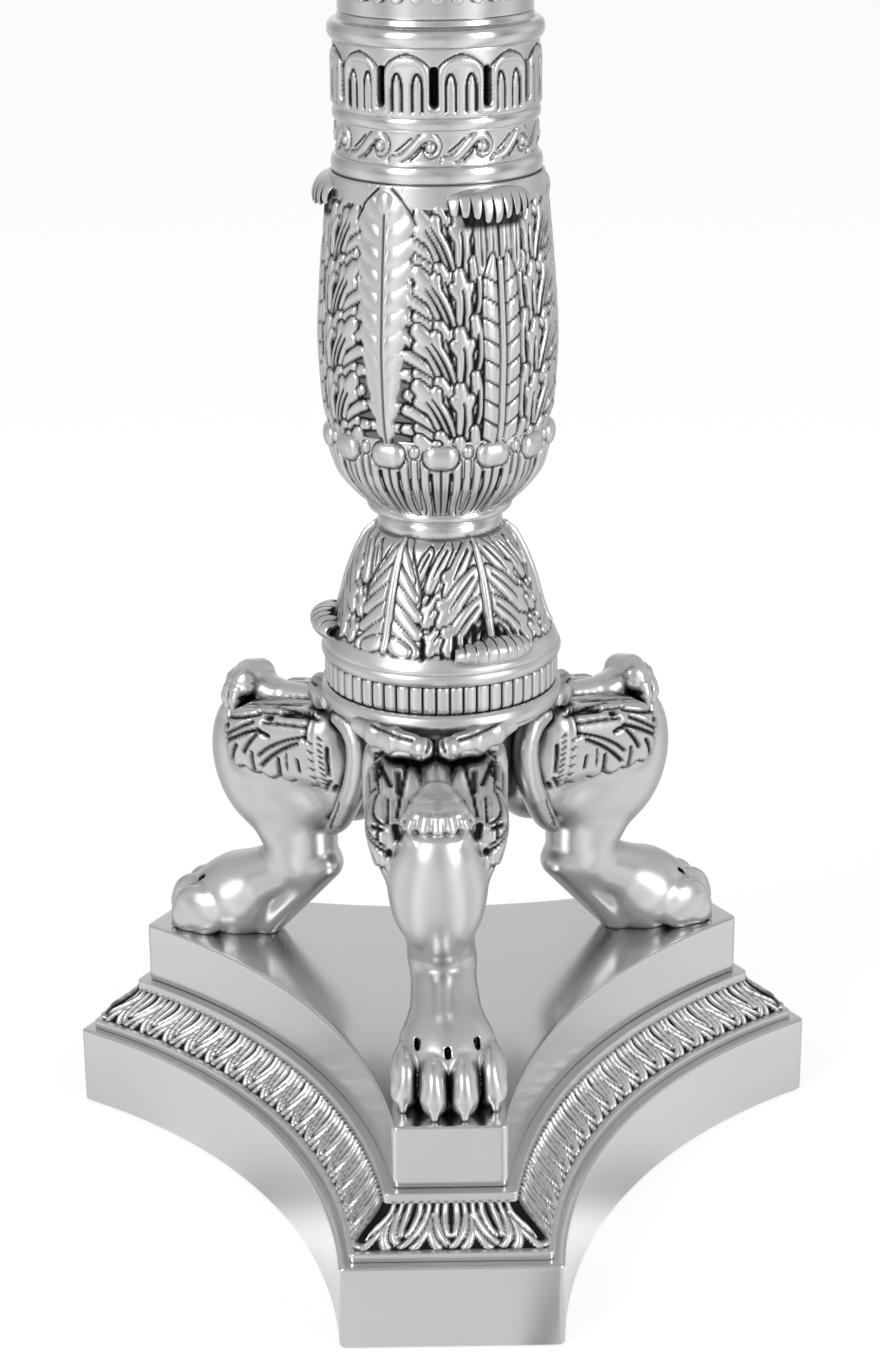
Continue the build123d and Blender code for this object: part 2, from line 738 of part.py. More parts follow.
with BuildPart() as column_shaft:
    for level, radius in ((SHAFT_Z, SHAFT_FOOT_R), (SHAFT_RING_Z, SHAFT_HEAD_R)):
        with BuildSketch(Plane.XY.offset(level)):
            Circle(radius)
            with PolarLocations(radius, SHAFT_FLUTES):
                Circle(SHAFT_FLUTE_R * radius / SHAFT_FOOT_R, mode=Mode.SUBTRACT)
    loft(ruled=True)
    with BuildSketch(Plane.XY.offset(SHAFT_Z)):
        Circle(SHAFT_HEAD_R - SHAFT_FLUTE_R - SHELL_WALL)
    extrude(amount=SHAFT_H, mode=Mode.SUBTRACT)

with BuildPart() as shaft_ring:
    with BuildSketch(Plane.XZ):
        with BuildLine():
            ThreePointArc(
                (SHAFT_HEAD_R, SHAFT_RING_Z),
                (SHAFT_RING_R, (SHAFT_RING_Z + CAPITAL_Z) / 2),
                (SHAFT_HEAD_R, CAPITAL_Z),
            )
            Polyline(
                (SHAFT_HEAD_R, CAPITAL_Z),
                (ROD_HOLE_R, CAPITAL_Z),
                (ROD_HOLE_R, SHAFT_RING_Z),
                (SHAFT_HEAD_R, SHAFT_RING_Z),
            )
        make_face()
    revolve(axis=Axis.Z)

# Each row: share of the height, share of the way from the foot's radius out to the head's
CAPITAL_CURVE = ((0.0, 0.0), (0.25, 0.04), (0.55, 0.22), (0.82, 0.62), (1.0, 1.0))
capital_skin = curve_points(CAPITAL_CURVE, CAPITAL_Z, CAPITAL_H, CAPITAL_FOOT_R, CAPITAL_HEAD_R)

with BuildPart() as capital:
    with BuildSketch(Plane.XZ):
        with BuildLine():
            Spline(*capital_skin)
            Polyline(capital_skin[-1], (ROD_HOLE_R, PAN_Z), (ROD_HOLE_R, CAPITAL_Z), capital_skin[0])
        make_face()
    revolve(axis=Axis.Z)

with BuildPart() as drip_pan:
    with BuildSketch(Plane.XZ):
        with BuildLine():
            Polyline((ROD_HOLE_R, PAN_Z), (0.7 * PAN_R, PAN_Z))
            ThreePointArc((0.7 * PAN_R, PAN_Z), (0.9 * PAN_R, PAN_Z + PAN_H / 4), (PAN_R, PAN_Z + PAN_H))
            Polyline((PAN_R, PAN_Z + PAN_H), (PAN_R - PAN_FLOOR, PAN_Z + PAN_H))
            ThreePointArc(
                (PAN_R - PAN_FLOOR, PAN_Z + PAN_H),
                (0.9 * PAN_R - 0.7 * PAN_FLOOR, PAN_Z + PAN_H / 4 + 0.7 * PAN_FLOOR),
                (0.7 * PAN_R, PAN_Z + PAN_FLOOR),
            )
            Polyline((0.7 * PAN_R, PAN_Z + PAN_FLOOR), (ROD_HOLE_R, PAN_Z + PAN_FLOOR), (ROD_HOLE_R, PAN_Z))
        make_face()
    revolve(axis=Axis.Z)

SOCKET_BORE_R = FOOT_R + FIT_GAP

with BuildPart() as candle_socket:
    with BuildSketch(Plane.XZ):
        with BuildLine():
            Spline(
                (0.8 * SOCKET_R, SOCKET_Z),
                (0.95 * SOCKET_R, SOCKET_Z + 0.1 * SOCKET_H),
                (SOCKET_R, SOCKET_Z + 0.35 * SOCKET_H),
                (0.9 * SOCKET_R, SOCKET_Z + 0.7 * SOCKET_H),
                (0.92 * SOCKET_R, SOCKET_TOP - SOCKET_RIM_H),
            )
            Polyline(
                (0.92 * SOCKET_R, SOCKET_TOP - SOCKET_RIM_H),
                (SOCKET_RIM_R, SOCKET_TOP - SOCKET_RIM_H),
                (SOCKET_RIM_R, SOCKET_TOP),
                (SOCKET_BORE_R, SOCKET_TOP),
                (SOCKET_BORE_R, SOCKET_Z + SOCKET_FLOOR),
                (ROD_HOLE_R, SOCKET_Z + SOCKET_FLOOR),
                (ROD_HOLE_R, SOCKET_Z),
                (0.8 * SOCKET_R, SOCKET_Z),
            )
        make_face()
    revolve(axis=Axis.Z)
    fillet(candle_socket.edges().filter_by(GeomType.CIRCLE).group_by(SortBy.RADIUS)[-1], SOCKET_RIM_H / 3)


# Tie rod, its nuts and washers

LOW_NUT_Z = HUB_Z - ROD_WASHER_T - ROD_NUT_H
HIGH_WASHER_Z = SOCKET_Z + SOCKET_FLOOR
HIGH_NUT_Z = HIGH_WASHER_Z + ROD_WASHER_T

with BuildPart() as tie_rod:
    with BuildSketch(Plane.XY.offset(LOW_NUT_Z - ROD_END)):
        Circle(ROD_R)
    extrude(amount=HIGH_NUT_Z + ROD_NUT_H + ROD_END - LOW_NUT_Z + ROD_END)

with BuildPart() as tie_washers:
    for level in (HUB_Z - ROD_WASHER_T, HIGH_WASHER_Z):
        with BuildSketch(Plane.XY.offset(level)):
            Circle(ROD_WASHER_R)
            Circle(ROD_HOLE_R, mode=Mode.SUBTRACT)
        extrude(amount=ROD_WASHER_T)

with BuildPart() as tie_nuts:
    for level in (LOW_NUT_Z, HIGH_NUT_Z):
        with BuildSketch(Plane.XY.offset(level)):
            RegularPolygon(ROD_NUT_R, 6)
            Circle(ROD_R + HOLE_GAP, mode=Mode.SUBTRACT)
        extrude(amount=ROD_NUT_H)


# Spring-fed candle tube

TUBE_BORE_R = TUBE_R - TUBE_WALL
FOOT_Z = SOCKET_TOP - FOOT_H
SPRING_Z = FOOT_Z + FOOT_FLOOR
SHOULDER_Z = TUBE_TOP - FIT_GAP
FOLLOWER_Z = SHOULDER_Z - CANDLE_H - FOLLOWER_T
TIP_TOP = SHOULDER_Z + CANDLE_TIP_H
FOOT_BORE_R = FOOT_R - TUBE_WALL

with BuildPart() as candle_tube:
    with BuildSketch(Plane.XZ):
        with BuildLine():
            Polyline(
                (0, FOOT_Z),
                (FOOT_R, FOOT_Z),
                (FOOT_R, SOCKET_TOP),
                (TUBE_R, SOCKET_TOP),
                (TUBE_R, TUBE_TOP),
                (TUBE_BORE_R, TUBE_TOP),
                (TUBE_BORE_R, SOCKET_TOP + TUBE_WALL),
                (FOOT_BORE_R, SOCKET_TOP + TUBE_WALL),
                (FOOT_BORE_R, SPRING_Z),
                (0, SPRING_Z),
                close=True,
            )
        make_face()
    revolve(axis=Axis.Z)

COIL_H = FOLLOWER_Z - SPRING_Z - 2 * SPRING_WIRE_R
COIL_PITCH = COIL_H / SPRING_TURNS

# The coil is one wire, drawn a quarter turn at a time
quarter_turns = []
for k in range(4 * SPRING_TURNS):
    level = SPRING_Z + SPRING_WIRE_R + k * COIL_PITCH / 4
    quarter_turn = Edge.make_helix(COIL_PITCH, COIL_PITCH / 4, SPRING_R, center=(0, 0, level))
    quarter_turns.append(quarter_turn.rotate(Axis.Z, 90 * k))
coil = Wire(quarter_turns)

with BuildPart() as feed_spring:
    with BuildSketch(Plane(coil @ 0, z_dir=coil % 0)):
        Circle(SPRING_WIRE_R)
    sweep(path=coil, is_frenet=True)

coil_points = [coil @ (k / (24 * SPRING_TURNS)) for k in range(24 * SPRING_TURNS + 1)]
coil_gap = min((a - b).length for i, a in enumerate(coil_points) for b in coil_points[i + 12 :])
print("least gap of the feed spring to itself", round(coil_gap - 2 * SPRING_WIRE_R, 2))

with BuildPart() as candle_follower:
    with BuildSketch(Plane.XY.offset(FOLLOWER_Z)):
        Circle(CANDLE_R)
    extrude(amount=FOLLOWER_T)

with BuildPart() as candle:
    with BuildSketch(Plane.XZ):
        with BuildLine():
            Polyline(
                (0, FOLLOWER_Z + FOLLOWER_T),
                (CANDLE_R, FOLLOWER_Z + FOLLOWER_T),
                (CANDLE_R, SHOULDER_Z),
                (CANDLE_TIP_R, SHOULDER_Z),
                (CANDLE_TIP_R / 3, TIP_TOP),
                (WICK_R, TIP_TOP),
                (WICK_R, SHOULDER_Z),
                (0, SHOULDER_Z),
                close=True,
            )
        make_face()
    revolve(axis=Axis.Z)

with BuildPart() as wick:
    with BuildSketch(Plane.XY.offset(SHOULDER_Z)):
        Circle(WICK_R)
    extrude(amount=CANDLE_TIP_H + WICK_H)

CAP_BORE_R = TUBE_R + FIT_GAP
CAP_HOLE_R = CANDLE_TIP_R + 2 * FIT_GAP

with BuildPart() as tube_cap:
    with BuildSketch(Plane.XZ):
        with BuildLine():
            Polyline(
                (CAP_BORE_R, TUBE_TOP - CAP_SKIRT),
                (CAP_BORE_R + CAP_WALL + CAP_LIP / 2, TUBE_TOP - CAP_SKIRT),
                (CAP_BORE_R + CAP_WALL + CAP_LIP / 2, TUBE_TOP - CAP_SKIRT + CAP_LIP),
                (CAP_BORE_R + CAP_WALL, TUBE_TOP - CAP_SKIRT + CAP_LIP),
                (CAP_BORE_R + CAP_WALL, TUBE_TOP + CAP_WALL / 2),
                (CAP_HOLE_R + CAP_WALL, TUBE_TOP + CAP_LIP + CAP_WALL),
                (CAP_HOLE_R, TUBE_TOP + CAP_LIP + CAP_WALL),
                (CAP_HOLE_R, TUBE_TOP),
                (CAP_BORE_R, TUBE_TOP),
                close=True,
            )
        make_face()
    revolve(axis=Axis.Z)


# Shade carrier

COLLAR_TOP = TUBE_TOP - CARRIER_DROP
CARRIER_BORE_R = TUBE_R + FIT_GAP
CARRIER_R = CARRIER_BORE_R + CARRIER_COLLAR_WALL
ARM_Z = COLLAR_TOP - CARRIER_COLLAR_H / 2
GALLERY_Z = COLLAR_TOP + CARRIER_RISE
GALLERY_MID_R = GALLERY_R - GALLERY_W / 2
ARM_BEND = GALLERY_MID_R - CARRIER_R - CARRIER_WIRE_R

with BuildPart() as carrier_arm:
    with BuildLine(Plane.XZ) as arm_path:
        reach_out = Line(((CARRIER_BORE_R + CARRIER_R) / 2, ARM_Z), (GALLERY_MID_R - ARM_BEND, ARM_Z))
        sweep_up = TangentArc(reach_out @ 1, (GALLERY_MID_R, ARM_Z + ARM_BEND), tangent=reach_out % 1)
        Line(sweep_up @ 1, (GALLERY_MID_R, GALLERY_Z + GALLERY_T / 2))
    with BuildSketch(Plane(arm_path.line @ 0, z_dir=arm_path.line % 0)):
        Circle(CARRIER_WIRE_R)
    sweep(path=arm_path.line)

with BuildPart() as carrier_collar:
    with BuildSketch(Plane.XY.offset(COLLAR_TOP - CARRIER_COLLAR_H)):
        Circle(CARRIER_R)
        Circle(CARRIER_BORE_R, mode=Mode.SUBTRACT)
    extrude(amount=CARRIER_COLLAR_H)

with BuildPart() as gallery_ring:
    with BuildSketch(Plane.XY.offset(GALLERY_Z)):
        Circle(GALLERY_R)
        Circle(GALLERY_R - GALLERY_W, mode=Mode.SUBTRACT)
    extrude(amount=GALLERY_T)

# The arms end where they are brazed, on the faces of the collar and the ring
with BuildPart() as carrier_arms:
    for angle in LEG_ANGLES.values():
        with Locations(Rotation(0, 0, angle)):
            add(carrier_arm.part)
    add(carrier_collar.part, mode=Mode.SUBTRACT)
    add(gallery_ring.part, mode=Mode.SUBTRACT)


# Shade

FITTER_Z = GALLERY_Z + GALLERY_T
SHADE_TOP = FITTER_Z + SHADE_DROP
SHADE_FOOT = SHADE_TOP - SHADE_H
SHADE_SLOPE = (SHADE_FOOT_R - SHADE_HEAD_R) / SHADE_H


def shade_r(level):
    """Radius of the shade's outer face at that level."""
    return SHADE_HEAD_R + SHADE_SLOPE * (SHADE_TOP - level)


def cone_band(low, high, near, far):
    """Draws half the section of a band lying along the shade, near to far outside its face."""
    with BuildLine() as section:
        Polyline(
            (shade_r(low) + near, low),
            (shade_r(low) + far, low),
            (shade_r(high) + far, high),
            (shade_r(high) + near, high),
            close=True,
        )
    make_face(section.edges())


with BuildPart() as shade_skin:
    with BuildSketch(Plane.XZ):
        cone_band(SHADE_FOOT, SHADE_TOP, -SHADE_WALL, 0)
    revolve(axis=Axis.Z)

with BuildPart() as shade_top_trim:
    with BuildSketch(Plane.XZ):
        cone_band(SHADE_TOP - TRIM_W, SHADE_TOP, HOLE_GAP, HOLE_GAP + TRIM_T)
    revolve(axis=Axis.Z)

with BuildPart() as shade_bottom_trim:
    with BuildSketch(Plane.XZ):
        cone_band(SHADE_FOOT, SHADE_FOOT + TRIM_W, HOLE_GAP, HOLE_GAP + TRIM_T)
    revolve(axis=Axis.Z)

WIRE_LIE = SHADE_WALL + HOLE_GAP + SHADE_WIRE_R * math.hypot(1, SHADE_SLOPE)
STRIP_LIE = SHADE_WALL + HOLE_GAP + SHADE_WIRE_R * (1 + SHADE_SLOPE)
TOP_WIRE_Z = SHADE_TOP - 2 * SHADE_WIRE_R
TOP_WIRE_R = shade_r(TOP_WIRE_Z) - STRIP_LIE
BOTTOM_WIRE_Z = SHADE_FOOT + 2 * SHADE_WIRE_R
BOTTOM_WIRE_R = shade_r(BOTTOM_WIRE_Z) - WIRE_LIE
SPOKE_FOOT_R = GALLERY_MID_R
SPOKE_RISE = TOP_WIRE_Z - FITTER_Z - FITTER_T / 2
SPOKE_RUN = TOP_WIRE_R - SPOKE_FOOT_R
SPOKE_LENGTH = math.hypot(SPOKE_RUN, SPOKE_RISE)

spoke_feet = []
for angle in LEG_ANGLES.values():
    foot_point = (*polar(SPOKE_FOOT_R, angle), FITTER_Z + FITTER_T / 2)
    lean = (*polar(SPOKE_RUN, angle), SPOKE_RISE)
    spoke_feet.append(Plane(origin=foot_point, x_dir=(*polar(1, angle + 90), 0), z_dir=lean))

with BuildPart() as shade_frame:
    with BuildSketch(Plane.XY.offset(FITTER_Z)):
        Circle(GALLERY_R)
        Circle(GALLERY_R - GALLERY_W, mode=Mode.SUBTRACT)
    extrude(amount=FITTER_T)
    with BuildSketch(Plane.XY.offset(TOP_WIRE_Z - SHADE_WIRE_R)):
        Circle(TOP_WIRE_R + SHADE_WIRE_R)
        Circle(TOP_WIRE_R - SHADE_WIRE_R, mode=Mode.SUBTRACT)
    extrude(amount=2 * SHADE_WIRE_R)
    with BuildSketch(*spoke_feet):
        Circle(SPOKE_R)
    extrude(amount=SPOKE_LENGTH)

with BuildPart() as shade_bottom_wire:
    with Locations((0, 0, BOTTOM_WIRE_Z)):
        Torus(BOTTOM_WIRE_R, SHADE_WIRE_R)


# One file for each piece

pieces = {
    "base_felt": base_felt,
    "base_cover": base_cover,
    "lower_plinth": lower_plinth,
    "leaf_moulding": leaf_moulding,
    "upper_plinth": upper_plinth,
    "paw_bolts": paw_bolts,
    "paw_bolt_washers": paw_bolt_washers,
    **legs,
    "leg_hub": leg_hub,
    "leg_screws": leg_screws,
    "fluted_collar": fluted_collar,
    "leaf_bell": leaf_bell,
    "neck_ring": neck_ring,
    "petal_cup": petal_cup,
    "vase_body": vase_body,
    "vase_ring": vase_ring,
    "wave_frieze": wave_frieze,
    "frieze_ring": frieze_ring,
    "arch_frieze": arch_frieze,
    "torus_ring": torus_ring,
    "column_drum": column_drum,
    "leaf_fringe": leaf_fringe,
    "column_shaft": column_shaft,
    "shaft_ring": shaft_ring,
    "capital": capital,
    "drip_pan": drip_pan,
    "candle_socket": candle_socket,
    "tie_rod": tie_rod,
    "tie_washers": tie_washers,
    "tie_nuts": tie_nuts,
    "candle_tube": candle_tube,
    "feed_spring": feed_spring,
    "candle_follower": candle_follower,
    "candle": candle,
    "wick": wick,
    "tube_cap": tube_cap,
    "carrier_collar": carrier_collar,
    "carrier_arms": carrier_arms,
    "gallery_ring": gallery_ring,
    "shade_skin": shade_skin,
    "shade_frame": shade_frame,
    "shade_bottom_wire": shade_bottom_wire,
    "shade_top_trim": shade_top_trim,
    "shade_bottom_trim": shade_bottom_trim,
}

os.makedirs("parts", exist_ok=True)
for name, piece in pieces.items():
    piece.part.label = name
    export_step(piece.part, f"parts/{name}.step")
    print(name, len(piece.part.solids()), "valid" if piece.part.is_valid else "NOT VALID")
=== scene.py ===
import math

import bpy
import numpy as np
from mathutils import Matrix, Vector
from numpy.linalg import norm


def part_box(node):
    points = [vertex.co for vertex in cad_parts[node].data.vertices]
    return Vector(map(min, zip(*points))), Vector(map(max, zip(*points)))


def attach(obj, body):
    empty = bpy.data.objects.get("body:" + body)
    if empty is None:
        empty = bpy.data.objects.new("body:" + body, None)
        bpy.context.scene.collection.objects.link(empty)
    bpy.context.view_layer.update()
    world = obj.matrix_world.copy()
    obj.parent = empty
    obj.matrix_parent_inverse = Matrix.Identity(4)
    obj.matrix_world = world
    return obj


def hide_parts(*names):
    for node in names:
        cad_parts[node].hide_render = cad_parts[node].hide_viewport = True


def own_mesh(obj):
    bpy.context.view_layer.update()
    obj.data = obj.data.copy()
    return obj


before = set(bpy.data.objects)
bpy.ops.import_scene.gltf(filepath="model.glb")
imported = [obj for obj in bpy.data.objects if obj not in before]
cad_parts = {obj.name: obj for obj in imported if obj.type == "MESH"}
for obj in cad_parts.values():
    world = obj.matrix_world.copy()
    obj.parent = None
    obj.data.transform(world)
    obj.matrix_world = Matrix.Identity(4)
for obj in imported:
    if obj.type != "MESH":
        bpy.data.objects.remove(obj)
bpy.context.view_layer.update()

MM = 0.001
LEG_TURNS = {"leg_front": -90, "leg_right": 30, "leg_left": 150}
ROD_BORE, STEM_BORE = 4.3, 17.2

# Where each part of the stem begins, in millimetres above the table
STEP_Z, PLINTH_TOP, COLLAR_Z, BELL_Z, NECK_Z, CUP_Z, VASE_Z = 35.4, 51.7, 127.5, 144.6, 174.2, 182.3, 200.5
VASE_RING_Z, WAVE_Z, MIDDLE_Z, ARCH_Z, TORUS_Z, DRUM_Z = 263, 267.8, 275.8, 279, 294.4, 300.8
DRUM_TOP, SHAFT_Z, SHAFT_RING_Z, CAPITAL_Z, PAN_Z = 316.8, 320.8, 424.8, 430.8, 464.8


# Small mathematics

def ramp(low, high, x):
    t = np.clip((x - low) / (high - low), 0, 1)
    return t * t * (3 - 2 * t)


def heading(degrees):
    """The level direction at an angle from +X towards +Y."""
    a = math.radians(degrees)
    return np.array([math.cos(a), math.sin(a)])


def about_axis(r, phi, z):
    """Points at radius r and at an angle from -Y towards +X."""
    return np.stack([r * np.sin(phi), -r * np.cos(phi), z], axis=-1).reshape(-1, 3)


def off_middle(phi, repeats):
    """How far an angle is from the middle of its repeat: 0 there and 1 at the repeat's edge."""
    share = phi * repeats / 360
    return np.abs(share - np.round(share)) * 2


def curve(points, count):
    """Points of a smooth curve: a straight run, a quadratic, or a spline through more than three points."""
    p = np.asarray(points, float)
    t = np.linspace(0, 1, count)[:, None]
    if len(p) == 2:
        return p[0] * (1 - t) + p[1] * t
    if len(p) == 3:
        return p[0] * (1 - t) ** 2 + 2 * p[1] * t * (1 - t) + p[2] * t * t
    ends = np.vstack([2 * p[0] - p[1], p, 2 * p[-1] - p[-2]])
    s = np.linspace(0, len(p) - 1 - 1e-9, count)
    i = s.astype(int)
    f = (s - i)[:, None]
    a, b, c, d = ends[i], ends[i + 1], ends[i + 2], ends[i + 3]
    return 0.5 * (2 * b + (c - a) * f + (2 * a - 5 * b + 4 * c - d) * f**2 + (3 * b - a - 3 * c + d) * f**3)


def along(values, count):
    """A width or height that varies along a stroke, from one or more values."""
    values = np.atleast_1d(values).astype(float)
    return np.interp(np.linspace(0, 1, count), np.linspace(0, 1, len(values)), values)


def blur(image, cells, wrap):
    """Two box blurs; the first axis wraps if asked."""
    cells = max(1, int(round(cells)))
    for axis in (0, 1):
        for _ in range(2):
            pad = [(0, 0), (0, 0)]
            pad[axis] = (cells, cells)
            padded = np.pad(image, pad, mode="wrap" if axis == 0 and wrap else "edge")
            total = np.cumsum(np.insert(padded, 0, 0, axis=axis), axis=axis)
            size = image.shape[axis]
            high = np.take(total, np.arange(size) + 2 * cells + 1, axis=axis)
            low = np.take(total, np.arange(size), axis=axis)
            image = (high - low) / (2 * cells + 1)
    return image


def flip(side, *points):
    """Points on a canvas, mirrored about its middle where side is -1."""
    return [(side * u, v) for u, v in points]


class Canvas:
    """A height map in millimetres, carved by strokes. u runs round or along the piece from its middle, v up it."""

    def __init__(self, width, height, step=0.2, wrap=True):
        self.width, self.height, self.step, self.wrap = width, height, step, wrap
        self.nu, self.nv = int(round(width / step)), int(round(height / step)) + 1
        self.u = (np.arange(self.nu) + 0.5) * width / self.nu - width / 2
        self.v = np.linspace(0, height, self.nv)
        self.h = np.zeros((self.nu, self.nv))
        self.dark = np.zeros((self.nu, self.nv))

    def stroke(self, points, width, rise, power=0.6, halo=0, cut=False):
        """Raises a rounded ridge along a curve, with a moat of width halo beside it, or cuts a dark groove."""
        length = norm(np.diff(curve(points, 24), axis=0), axis=1).sum()
        count = int(np.clip(2.5 * length / np.min(width), 12, 400))
        path, wide, tall = curve(points, count), along(width, count), along(rise, count)
        reach = wide.max() + halo
        for turn in (-1, 0, 1) if self.wrap else (0,):
            p = path + np.array([turn * self.width, 0])
            iu = np.nonzero((self.u > p[:, 0].min() - reach) & (self.u < p[:, 0].max() + reach))[0]
            iv = np.nonzero((self.v > p[:, 1].min() - reach) & (self.v < p[:, 1].max() + reach))[0]
            if not (len(iu) and len(iv)):
                continue
            su, sv = slice(iu[0], iu[-1] + 1), slice(iv[0], iv[-1] + 1)
            far = np.hypot(self.u[su][:, None, None] - p[:, 0], self.v[sv][None, :, None] - p[:, 1])
            best = (far / wide).argmin(axis=2)
            far = np.take_along_axis(far, best[..., None], 2)[..., 0]
            share = np.maximum(0, 1 - (far / wide[best]) ** 2)
            block, ink = self.h[su, sv], self.dark[su, sv]
            if cut:
                block -= tall[best] * share**power
                np.maximum(ink, ramp(0.05, 0.6, share), out=ink)
                continue
            if halo:
                covered = far < wide[best] + halo
                block[covered] = 0
                ink[covered] = 0
            np.maximum(block, tall[best] * share**power, out=block)

    def vein(self, points, width, depth):
        self.stroke(points, width, depth, cut=True)

    def leaf(self, root, tip, bend, width, rise, halo=0.4, veins=(0,), vein=0.28, lobed=False):
        """One finger of a leaf: a flat ridge with a round tip, or one of three lobes, and cut veins.
        Bend bows it to one side."""
        root, tip = np.array(root, float), np.array(tip, float)
        run = tip - root
        beside = np.array([-run[1], run[0]])
        path = [root, (root + tip) / 2 + bend * beside, tip]
        shape_of = ([0.7 * width, width, width, 0.75 * width], [0.8 * rise, rise, rise], 0.28)
        self.stroke(path, *shape_of, halo)
        if lobed:
            line = curve(path, 11)
            for side in (-1, 1):
                lobe = line[8] + side * 1.05 * width * beside / norm(run)
                self.stroke([line[5], lobe], [0.5 * width, 0.62 * width], 0.9 * rise, 0.28, halo)
            self.stroke(path, *shape_of)
        for shift in veins:
            inner = curve(path, 13)[1:-3] + shift * beside / norm(run)
            self.vein(inner, [vein, vein, 0.6 * vein], 0.6 * rise)

    def settle(self, ground=0.4, gain=1.6, bias=0.2, fine=0.4):
        """Works out how dark each place is: the cut lines, places lower than ground, and narrow grooves."""
        hollow = np.clip(gain * (blur(self.h, fine / self.step, self.wrap) - self.h) - bias, 0, 1)
        self.dark = np.maximum(self.dark, hollow)
        if ground:
            self.dark = np.maximum(self.dark, 1 - ramp(0.3 * ground, ground, self.h))
        return self

    def read(self, image, u, v):
        x = (u + self.width / 2) / self.width * self.nu - 0.5
        y = np.clip(v / self.height * (self.nv - 1), 0, self.nv - 1.001)
        if not self.wrap:
            x = np.clip(x, 0, self.nu - 1.001)
        i, j = np.floor(x).astype(int), y.astype(int)
        fx, fy = x - i, y - j
        i0, i1 = i % self.nu, (i + 1) % self.nu
        low = image[i0, j] * (1 - fy) + image[i0, j + 1] * fy
        high = image[i1, j] * (1 - fy) + image[i1, j + 1] * fy
        return low * (1 - fx) + high * fx

    def within(self, u, v, inside):
        """Height and darkness where inside is true, and nothing elsewhere."""
        return [np.where(inside, self.read(image, u, v), 0) for image in (self.h, self.dark)]

    def round_axis(self, base, repeats, turn=0):
        """Relief for a turned piece: the canvas repeated round it, its middle at angle turn."""
        def relief(phi, z):
            share = (phi - turn) * repeats / 360
            u = (share - np.round(share)) * self.width
            u, v = np.broadcast_arrays(u, z - base)
            inside = (v > -0.05) & (v < self.height + 0.05)
            return self.within(u, v, inside)
        return relief


# Materials

def start(name):
    material = bpy.data.materials.new(name)
    material.use_nodes = True
    return material, material.node_tree, material.node_tree.nodes["Principled BSDF"].inputs


def give(tree, socket, value):
    """Sets a socket, or links another node's output to it."""
    if isinstance(value, bpy.types.NodeSocket):
        tree.links.new(value, socket)
    else:
        socket.default_value = value


def add(tree, kind, **values):
    """A new shader node with inputs given by name, where _ stands for a space."""
    made = tree.nodes.new("ShaderNode" + kind)
    for name, value in values.items():
        give(tree, made.inputs[name.replace("_", " ")], value)
    return made


def noise(tree, scale, detail, stretch=(1, 1, 1)):
    place = add(tree, "TexCoord").outputs["Object"]
    place = add(tree, "Mapping", Vector=place, Scale=stretch).outputs["Vector"]
    return add(tree, "TexNoise", Vector=place, Scale=scale, Detail=detail).outputs["Fac"]


def spread(tree, source, low, high):
    """Maps the middle of a noise to a range of values."""
    return add(tree, "MapRange", Value=source, From_Min=0.3, From_Max=0.7, To_Min=low, To_Max=high).outputs["Result"]


def tint(tree, factor, first, second):
    """Mixes two colours."""
    mix = add(tree, "Mix")
    mix.data_type = "RGBA"
    for socket, value in ((0, factor), (6, first), (7, second)):
        give(tree, mix.inputs[socket], (*value, 1) if isinstance(value, tuple) else value)
    return mix.outputs[2]


def around(tree, output, levels):
    """A brightness that changes with the direction round the upright axis: 0 is -X, 0.25 -Y, 0.5 +X, 0.75 +Y."""
    turn = add(tree, "TexGradient", Vector=add(tree, "TexCoord").outputs[output])
    turn.gradient_type = "RADIAL"
    stops = add(tree, "ValToRGB", Fac=turn.outputs["Fac"])
    stops.color_ramp.interpolation = "EASE"
    while len(stops.color_ramp.elements) < len(levels):
        stops.color_ramp.elements.new(0.5)
    for element, (position, value) in zip(stops.color_ramp.elements, levels):
        element.position = position
        element.color = (value, value, value, 1)
    return stops.outputs["Color"]


def finish(tree, shader, colour, rough, metallic, height, strength, distance):
    """Gives a shader its colour, roughness, metalness and bump."""
    relief = add(tree, "Bump", Height=height, Strength=strength, Distance=distance)
    for socket, value in (("Base Color", colour), ("Roughness", rough), ("Metallic", metallic),
                          ("Normal", relief.outputs["Normal"])):
        give(tree, shader[socket], value)


def silver(name, rough, with_patina_and_shade):
    """Polished silver plate; where asked, the mesh's own patina value darkens it: real patina in the hollows, and
    painted shade on and under the curled leaf tips.
    """
    material, tree, shader = start(name)
    cloud = noise(tree, 35, 5)
    colour = tint(tree, cloud, (0.6, 0.597, 0.59), (0.67, 0.667, 0.66))
    dull = spread(tree, cloud, rough - 0.04, rough + 0.05)
    if with_patina_and_shade:
        patina = add(tree, "Attribute")
        patina.attribute_name = "patina"
        colour = tint(tree, patina.outputs["Fac"], colour, (0.016, 0.015, 0.014))
        mix = add(tree, "Mix")
        for socket, value in ((0, patina.outputs["Fac"]), (2, dull), (3, 0.6)):
            give(tree, mix.inputs[socket], value)
        dull = mix.outputs[0]
    finish(tree, shader, colour, dull, 1, noise(tree, 500, 3, (1, 1, 0.15)), 0.04, 0.0002)
    return material


def plain(name, first, second, rough, metallic=0, scale=60, strength=0.1, stretch=(1, 1, 1)):
    material, tree, shader = start(name)
    cloud = noise(tree, scale, 6, stretch)
    dull = spread(tree, cloud, rough - 0.05, rough + 0.05)
    finish(tree, shader, tint(tree, cloud, first, second), dull, metallic, cloud, strength, 0.0003)
    return material


